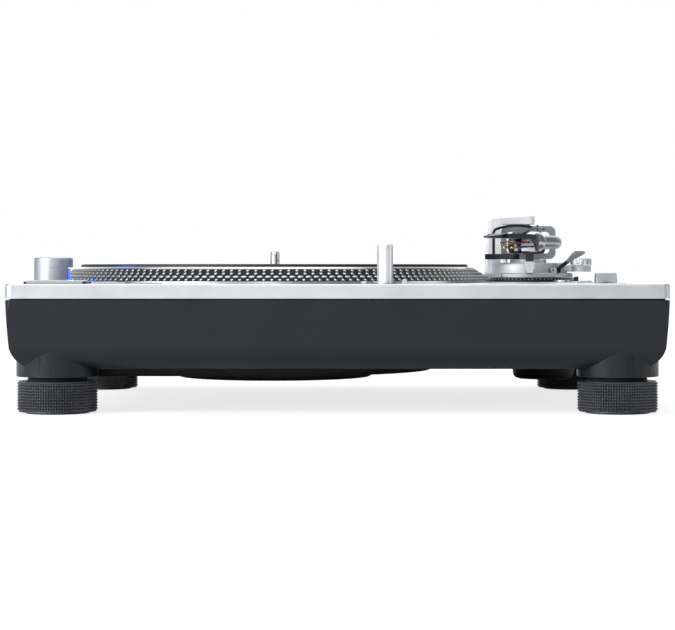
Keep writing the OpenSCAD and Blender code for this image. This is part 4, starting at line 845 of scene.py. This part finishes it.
def leads():
    """Four lead wires between the plug's pins and the shell's, each with a sleeve and two clips."""
    pin_y, spacing, high, low = -6.1, 2.8, -0.6, -3.6
    for i, (colour, sleeve) in enumerate(LEADS.items()):
        x, z = spacing * (i - 1.5), low if i % 2 else high
        route = bezier([[x, pin_y - 1.9, z], [x, pin_y - 9, z + 0.4], [x * 1.15, pin_y - 18, z - 1.5],
                        [x * 1.1, pin_y - 27, z - 0.8]])
        make("lead_" + colour, at_shell(sweep(route, 0.55, 12)), sleeve, "arm", ("headshell_leads",))
        front = [[x * 1.1, pin_y - 26.8 - s, z - 0.8] for s in (0, 0.6, 1.2, 5.2, 6.0)]
        back = [[x, pin_y + 1.5 - s, z] for s in (0, 0.6, 1.2, 3.0, 3.5)]
        clips = join(sweep(front, (0.6, 0.85, 0.85, 0.85, 0.5), 16),
                     sweep(back, (0.6, 0.8, 0.8, 0.8, 0.5), 16))
        make("clips_" + colour, at_shell(clips), "gold_plate", "arm", ("headshell_leads",))


def plug_face():
    """The white insulator that closes the shell's neck round the four pins: a plate with round corners."""
    half_w, half_h, drop, round_r = 4.6, 2.7, 2.5, 1.5
    corner = np.linspace(0, math.pi / 2, 8)
    outline = [(x * half_w + round_r * math.cos(turn + t), z * half_h - drop + round_r * math.sin(turn + t))
               for x, z, turn in ((1, 1, 0), (-1, 1, math.pi / 2), (-1, -1, math.pi), (1, -1, 1.5 * math.pi))
               for t in corner]
    points, faces = prism(outline, 4.52, 5.0)
    make("plug_insulator", at_shell((points[:, [0, 2, 1]] * [1, -1, 1], faces)), "white_insulator", "arm",
         ("headshell_leads",), bevel=0.12)


def lift_rail():
    """The curved rest rail: an arc with round ends, its stem, and the thin bow over the tube."""
    middle, half_w, top, low, high = 37.0, 4.0, DECK_TOP + 22, math.radians(-150), math.radians(-112)
    pivot = np.array([PIVOT_X, PIVOT_Y, 0])
    arc, cap = np.linspace(low, high, 40), np.linspace(0, math.pi, 16)[1:-1]

    def part(name, surface, finish, bevel=0.0):
        surface = (surface[0] + pivot, surface[1])
        make("lift_" + name, surface, finish, "arm_lift", ("lift_rail",), bevel=bevel)

    def side(radius, turns):
        return radius * np.stack([np.cos(turns), np.sin(turns)], axis=-1)

    def end(angle, turns):
        return side(middle, np.full(len(turns), angle)) + side(half_w, angle + turns)

    outline = np.concatenate([side(middle + half_w, arc), end(high, cap), side(middle - half_w, arc[::-1]),
                              end(low, -cap[::-1])])
    part("rail_slab", prism(outline, top - 4.3, top), "black_anodised", 0.5)
    stem_turn = math.radians(-135)
    lug = turned([(-3.5, -36), (3.5, -36), (3.5, -25.4), (-3.5, -25.4)], stem_turn + math.pi / 2)
    part("rail_lug", prism(lug, top - 4.2, top - 0.1), "black_anodised", 0.4)
    x, y = 28 * math.cos(stem_turn), 28 * math.sin(stem_turn)
    stem = [[x, y, z] for z in (DECK_TOP + 10.9, DECK_TOP + 16, top - 1)]
    part("rail_stem", sweep(stem, 1.6, 32), "polished_steel")

    rise, bend_r, bend, bow_r, bow = 17.5, 3.5, math.radians(70), 47.0, math.radians(35)
    bend_part, bow_part = np.linspace(0, bend, 14)[1:], np.linspace(0, bow, 24)[1:]
    heading = np.concatenate([np.zeros(12), bend_part, bend + bow_part])
    length = np.concatenate([np.linspace(0, rise, 12), rise + bend_r * bend_part,
                             rise + bend_r * bend + bow_r * bow_part])
    across, up = walk(length, heading)
    x, y = side(34.3, math.radians(-148))
    bow_wire = np.stack([x + across, y + 0 * across, top - 1 + up], axis=-1)
    part("bow_wire", sweep(bow_wire, 1.1, 20), "black_anodised")


def along_y(profile):
    """A profile of (radius, y) points carried round the rear rod's axis in the arm's frame."""
    points, faces = revolve(profile, (0, 0), 96)
    return points[:, [0, 2, 1]] - [0, 0, TUBE_DROP], faces


def counterweight():
    """The weight behind the pivot with its grip grooves, and the force dial in front of it."""
    bore, r, start, end, chamfer, hollow = 5.05, 15.5, 41.0, 71.0, 1.2, 12.5
    profile = [(bore, start), (r - chamfer, start), (r, start + chamfer), (r, start + 16)]
    for y in start + 17 + 2.6 * np.arange(4):
        profile += [(r, y), (r - 0.5, y + 0.5), (r - 0.5, y + 1.1), (r, y + 1.6)]
    profile += [(r, end - chamfer), (r - chamfer, end), (hollow, end), (hollow, start + 16),
                (bore, start + 16), (bore, start)]
    make("counterweight_turned", at_arm(along_y(profile)), "weight_grey", "weight", ("counterweight",),
         outward=False)
    front, back, dial_r = 35.7, 40.7, 14.0
    dial = [(bore, front), (dial_r - 0.4, front), (dial_r, front + 0.4), (dial_r, back - 0.4),
            (dial_r - 0.4, back), (bore, back), (bore, front)]
    make("force_dial_ring", at_arm(along_y(dial)), "black_plastic", "dial", ("force_dial",), outward=False)
    count, half_turn, raised, mark_y = 40, 0.011, 0.06, front + 0.7
    mark_faces = [[0, 1, 2, 3], [4, 5, 6, 7], [0, 1, 5, 4], [1, 2, 6, 5], [2, 3, 7, 6], [3, 0, 4, 7]]
    marks = []
    for i in range(count):
        mark_end = mark_y + (1.5 if i % 10 else 2.6)
        radius = dial_r + raised * np.array([0, 1, 1, 0, 0, 1, 1, 0])
        turn = 2 * math.pi * i / count + half_turn * np.repeat([-1, 1], 4)
        y = np.array([mark_y, mark_y, mark_end, mark_end] * 2)
        points = np.stack([radius * np.cos(turn), y, radius * np.sin(turn) - TUBE_DROP], axis=-1)
        marks.append((points, mark_faces))
    make("force_dial_marks", at_arm(join(*marks)), "dial_marks", "dial", ("force_dial",))


# Stage


# The panels that glossy and diffuse rays meet, as (turn, brightness): front 0.25, right 0.5, back 0.75.
PANELS = [(0.0, 0.45), (0.045, 1.0), (0.14, 1.0), (0.17, 0.6), (0.218, 0.45), (0.238, 1.0), (0.25, 1.0),
          (0.28, 0.1), (0.44, 0.15), (0.465, 0.9), (0.515, 0.9), (0.54, 0.12), (0.64, 0.15), (0.71, 1.0),
          (0.8, 1.0), (0.86, 0.2), (0.955, 0.2), (1.0, 0.45)]
GLOSSY_LEVEL, DIFFUSE_LEVEL = 1.4, 1.25


def studio_world():
    """A white surround for the camera, and the panels for what the object reflects and what lights it."""
    world = bpy.data.worlds.new("studio")
    bpy.context.scene.world = world
    world.use_nodes = True
    tree = world.node_tree
    tree.nodes.clear()
    path = add(tree, "ShaderNodeLightPath")
    where = add(tree, "ShaderNodeTexCoord").outputs["Generated"]
    round_about = add(tree, "ShaderNodeTexGradient", {0: where}, gradient_type="RADIAL")
    panels = add(tree, "ShaderNodeValToRGB", {0: round_about.outputs["Fac"]})
    ramp = panels.color_ramp
    while len(ramp.elements) < len(PANELS):
        ramp.elements.new(0.5)
    for element, (position, grey) in zip(ramp.elements, PANELS):
        element.position = position
        element.color = (grey, grey, grey, 1)
    glossy = add(tree, "ShaderNodeMath", {0: panels.outputs[0], 1: GLOSSY_LEVEL}, operation="MULTIPLY")
    diffuse = add(tree, "ShaderNodeMath", {0: panels.outputs[0], 1: DIFFUSE_LEVEL}, operation="MULTIPLY")
    level = add(tree, "ShaderNodeMix", {"Factor": path.outputs["Is Glossy Ray"], "A": diffuse.outputs[0],
                                        "B": glossy.outputs[0]})
    clear = add(tree, "ShaderNodeMath", {0: path.outputs["Is Camera Ray"],
                                         1: path.outputs["Is Transmission Ray"]}, operation="MAXIMUM")
    level = add(tree, "ShaderNodeMix", {"Factor": clear.outputs[0], "A": level.outputs[0], "B": 1.0})
    shine = add(tree, "ShaderNodeBackground", {"Color": (1, 1, 1, 1), "Strength": level.outputs[0]})
    add(tree, "ShaderNodeOutputWorld", {"Surface": shine.outputs[0]})


def studio_floor():
    """A pale matte floor that glows for the camera, so that it is white and keeps the object's shadow."""
    reach = 4.0
    mesh = bpy.data.meshes.new("floor")
    mesh.from_pydata([(-reach, -reach, 0), (reach, -reach, 0), (reach, reach, 0), (-reach, reach, 0)], [],
                     [(0, 1, 2, 3)])
    floor = put("floor", mesh)
    pale = bpy.data.materials.new("pale_studio_floor")
    pale.use_nodes = True
    tree = pale.node_tree
    tree.nodes.clear()
    path = add(tree, "ShaderNodeLightPath")
    matte = add(tree, "ShaderNodeBsdfDiffuse", {"Color": linear("#F4F4F4")})
    faint = add(tree, "ShaderNodeBsdfDiffuse", {"Color": linear("#A0A0A0")})
    glow = add(tree, "ShaderNodeEmission", {"Strength": 0.78})
    lifted = add(tree, "ShaderNodeAddShader", {0: faint.outputs[0], 1: glow.outputs[0]})
    seen = add(tree, "ShaderNodeMixShader", {0: path.outputs["Is Camera Ray"], 1: matte.outputs[0],
                                             2: lifted.outputs[0]})
    add(tree, "ShaderNodeOutputMaterial", {"Surface": seen.outputs[0]})
    mesh.materials.append(pale)


def stage_scene():
    """The floor, the surround, soft boxes to the left, above and in front, the strobe's glow, the camera."""
    bpy.context.scene.view_settings.view_transform = "Standard"
    studio_world()
    studio_floor()
    soft_box("soft_box_left", (-1.3, -1.1, 0.75), (-0.1, -0.1, 0.08), 1.2, 24)
    soft_box("soft_box_top", (-0.2, 0.3, 1.7), (0, 0, 0.08), 1.6, 9)
    soft_box("soft_box_front", (0.35, -1.5, 0.9), (0.1, 0, 0.08), 1.0, 5)
    strobe = soft_box("strobe_glow", (-0.191, -0.103, 0.0985), (-0.15, -0.105, 0.122), 0.005, 0.085)
    strobe.visible_camera = False
    strobe.data.color = linear("#1E78FF")[:3]
    camera()


def soft_box(name, place_at, target, size, watts):
    """A square area light turned towards a point."""
    light = bpy.data.lights.new(name, "AREA")
    light.shape = "SQUARE"
    light.size = size
    light.energy = watts
    lamp = put(name, light)
    lamp.location = place_at
    away = np.array(target) - np.array(place_at)
    flat = math.hypot(away[0], away[1])
    lamp.rotation_euler = (math.atan2(flat, -away[2]), 0, math.atan2(-away[0], away[1]))
    return lamp


def camera():
    """The photograph's level front view, with the object above the frame's middle held by the shift."""
    image_w, focal_px, horizon_px, image_h = 675, 2061.4, 267.6, 630
    lens = bpy.data.cameras.new("front_view")
    lens.sensor_width = 36
    lens.lens = focal_px / image_w * lens.sensor_width
    lens.shift_y = (horizon_px - image_h / 2) / image_w
    eye = put("front_view", lens)
    eye.location = (0, -1.5765, 0.1007)
    eye.rotation_euler = (math.pi / 2, 0, 0)
    bpy.context.scene.camera = eye


# The add-on


class TurntableSizes(bpy.types.PropertyGroup):
    """Sizes of the fine parts that a user would change."""

    knurl_pitch: bpy.props.FloatProperty(
        name="Knurl pitch", description="Spacing of the feet's knurls, in mm", default=1.83, min=1.2, max=4.0)
    dot_height: bpy.props.FloatProperty(
        name="Dot height", description="Rise of the rim's dots, in mm", default=0.3, min=0.05, max=0.6)
    rib_pitch: bpy.props.FloatProperty(
        name="Rib pitch", description="Spacing of the mat's ribs, in mm", default=3.0, min=1.5, max=8.0)
    rib_depth: bpy.props.FloatProperty(
        name="Rib depth", description="Depth of the mat's grooves, in mm", default=0.45, min=0.1, max=1.0)


class Piece(bpy.types.Operator):
    """What every operator of this add-on shares."""

    bl_options = {"REGISTER", "UNDO"}

    def execute(self, context):
        """Builds the pieces, and raises an error where it can't."""
        self.build(context.scene.turntable_sizes)
        return {"FINISHED"}


class TURNTABLE_OT_deck(Piece):
    """The deck's panel, its base and the covers underneath"""

    bl_idname, bl_label = "turntable.deck", "Deck and base"

    def build(self, sizes):
        dress(top_panel=0.3, base_shell=0.5, bottom_cover=0.5, motor_cover=0.4, arm_cover=0.4,
              hinge_sockets=0.3, record_adaptor=0.25, headshell_socket=0.3)


class TURNTABLE_OT_feet(Piece):
    """The four knurled levelling feet"""

    bl_idname, bl_label = "turntable.feet", "Feet"

    def build(self, sizes):
        for node, x, y in (("foot_front_left", -1, -1), ("foot_front_right", 1, -1),
                           ("foot_rear_left", -1, 1), ("foot_rear_right", 1, 1)):
            foot(node, x, y, sizes.knurl_pitch)


class TURNTABLE_OT_motor(Piece):
    """The motor, its bearing and the boards inside the base"""

    bl_idname, bl_label = "turntable.motor", "Motor and boards"

    def build(self, sizes):
        dress(motor_frame=0.4, stator_board=0.1, stator_coils=0.6, bearing_housing=0.3, thrust_pad=0.2,
              power_board=0.2, transformer=1.2, control_board=0.2, rotor_magnet=0.4, spindle=0.15)


class TURNTABLE_OT_platter(Piece):
    """The platter with its dots, and the mat on it"""

    bl_idname, bl_label = "turntable.platter", "Platter and mat"

    def build(self, sizes):
        platter(sizes.dot_height)
        mat(sizes.rib_pitch, sizes.rib_depth)


class TURNTABLE_OT_controls(Piece):
    """The strobe tower, the keys, the lamp and the pitch fader"""

    bl_idname, bl_label = "turntable.controls", "Controls"

    def build(self, sizes):
        button_surround()
        dress(strobe_column=0.2, strobe_lens=0.3, power_knob=0.2, start_stop_button=0.25, speed_button_33=0.2,
              speed_button_45=0.2, lamp_sleeve=0.15, stylus_lamp=0.15, lamp_lens=0.2, lamp_button=0.2,
              fader_plate=0.15, pitch_knob=0.3, reset_button=0.2)
        deck_marks()


class TURNTABLE_OT_rear(Piece):
    """The sockets at the back"""

    bl_idname, bl_label = "turntable.rear", "Rear sockets"

    def build(self, sizes):
        dress(jack_panel=0.2, phono_jacks=0.2, ground_terminal=0.3, power_inlet=0.4)


class TURNTABLE_OT_arm_base(Piece):
    """The arm's base, yoke, rest, lift and anti-skate knob"""

    bl_idname, bl_label = "turntable.arm_base", "Arm base"

    def build(self, sizes):
        dress(height_ring=0.25, height_lock=0.2, arm_base=0.25, arm_yoke=0.5, armrest=0.3, armrest_clip=0.3,
              cue_lever=0.2)
        antiskate_knob()
        arm_base_marks()
        lift_rail()


class TURNTABLE_OT_tonearm(Piece):
    """The gimbal, the tube, the headshell and the weight"""

    bl_idname, bl_label = "turntable.tonearm", "Tonearm"

    def build(self, sizes):
        dress(gimbal_ring=0.4, pivot_block=0.3, locking_collar=0.2, headshell=0.25, finger_lift=0.2)
        arm_tube()
        leads()
        plug_face()
        counterweight()


class TURNTABLE_OT_stage(Piece):
    """The floor, the lights and the camera"""

    bl_idname, bl_label = "turntable.stage", "Stage"

    def build(self, sizes):
        stage_scene()


OPERATORS = (TURNTABLE_OT_deck, TURNTABLE_OT_feet, TURNTABLE_OT_motor, TURNTABLE_OT_platter,
             TURNTABLE_OT_controls, TURNTABLE_OT_rear, TURNTABLE_OT_arm_base, TURNTABLE_OT_tonearm,
             TURNTABLE_OT_stage)


class TURNTABLE_PT_pieces(bpy.types.Panel):
    """Lists the pieces in the sidebar"""

    bl_label = "Turntable"
    bl_space_type, bl_region_type, bl_category = "VIEW_3D", "UI", "Turntable"

    def draw(self, context):
        """Draws the sizes and one button for each operator."""
        for size in TurntableSizes.__annotations__:
            self.layout.prop(context.scene.turntable_sizes, size)
        for operator in OPERATORS:
            self.layout.operator(operator.bl_idname)


CLASSES = (TurntableSizes, *OPERATORS, TURNTABLE_PT_pieces)


def register():
    """Adds the classes and the scene's sizes."""
    for one in CLASSES:
        bpy.utils.register_class(one)
    bpy.types.Scene.turntable_sizes = bpy.props.PointerProperty(type=TurntableSizes)


def unregister():
    """Takes them away again."""
    del bpy.types.Scene.turntable_sizes
    for one in reversed(CLASSES):
        bpy.utils.unregister_class(one)


def main():
    """Builds every piece."""
    register()
    bpy.ops.turntable.deck()
    bpy.ops.turntable.feet()
    bpy.ops.turntable.motor()
    bpy.ops.turntable.platter()
    bpy.ops.turntable.controls()
    bpy.ops.turntable.rear()
    bpy.ops.turntable.arm_base()
    bpy.ops.turntable.tonearm()
    bpy.ops.turntable.stage()


if __name__ == "__main__":
    main()
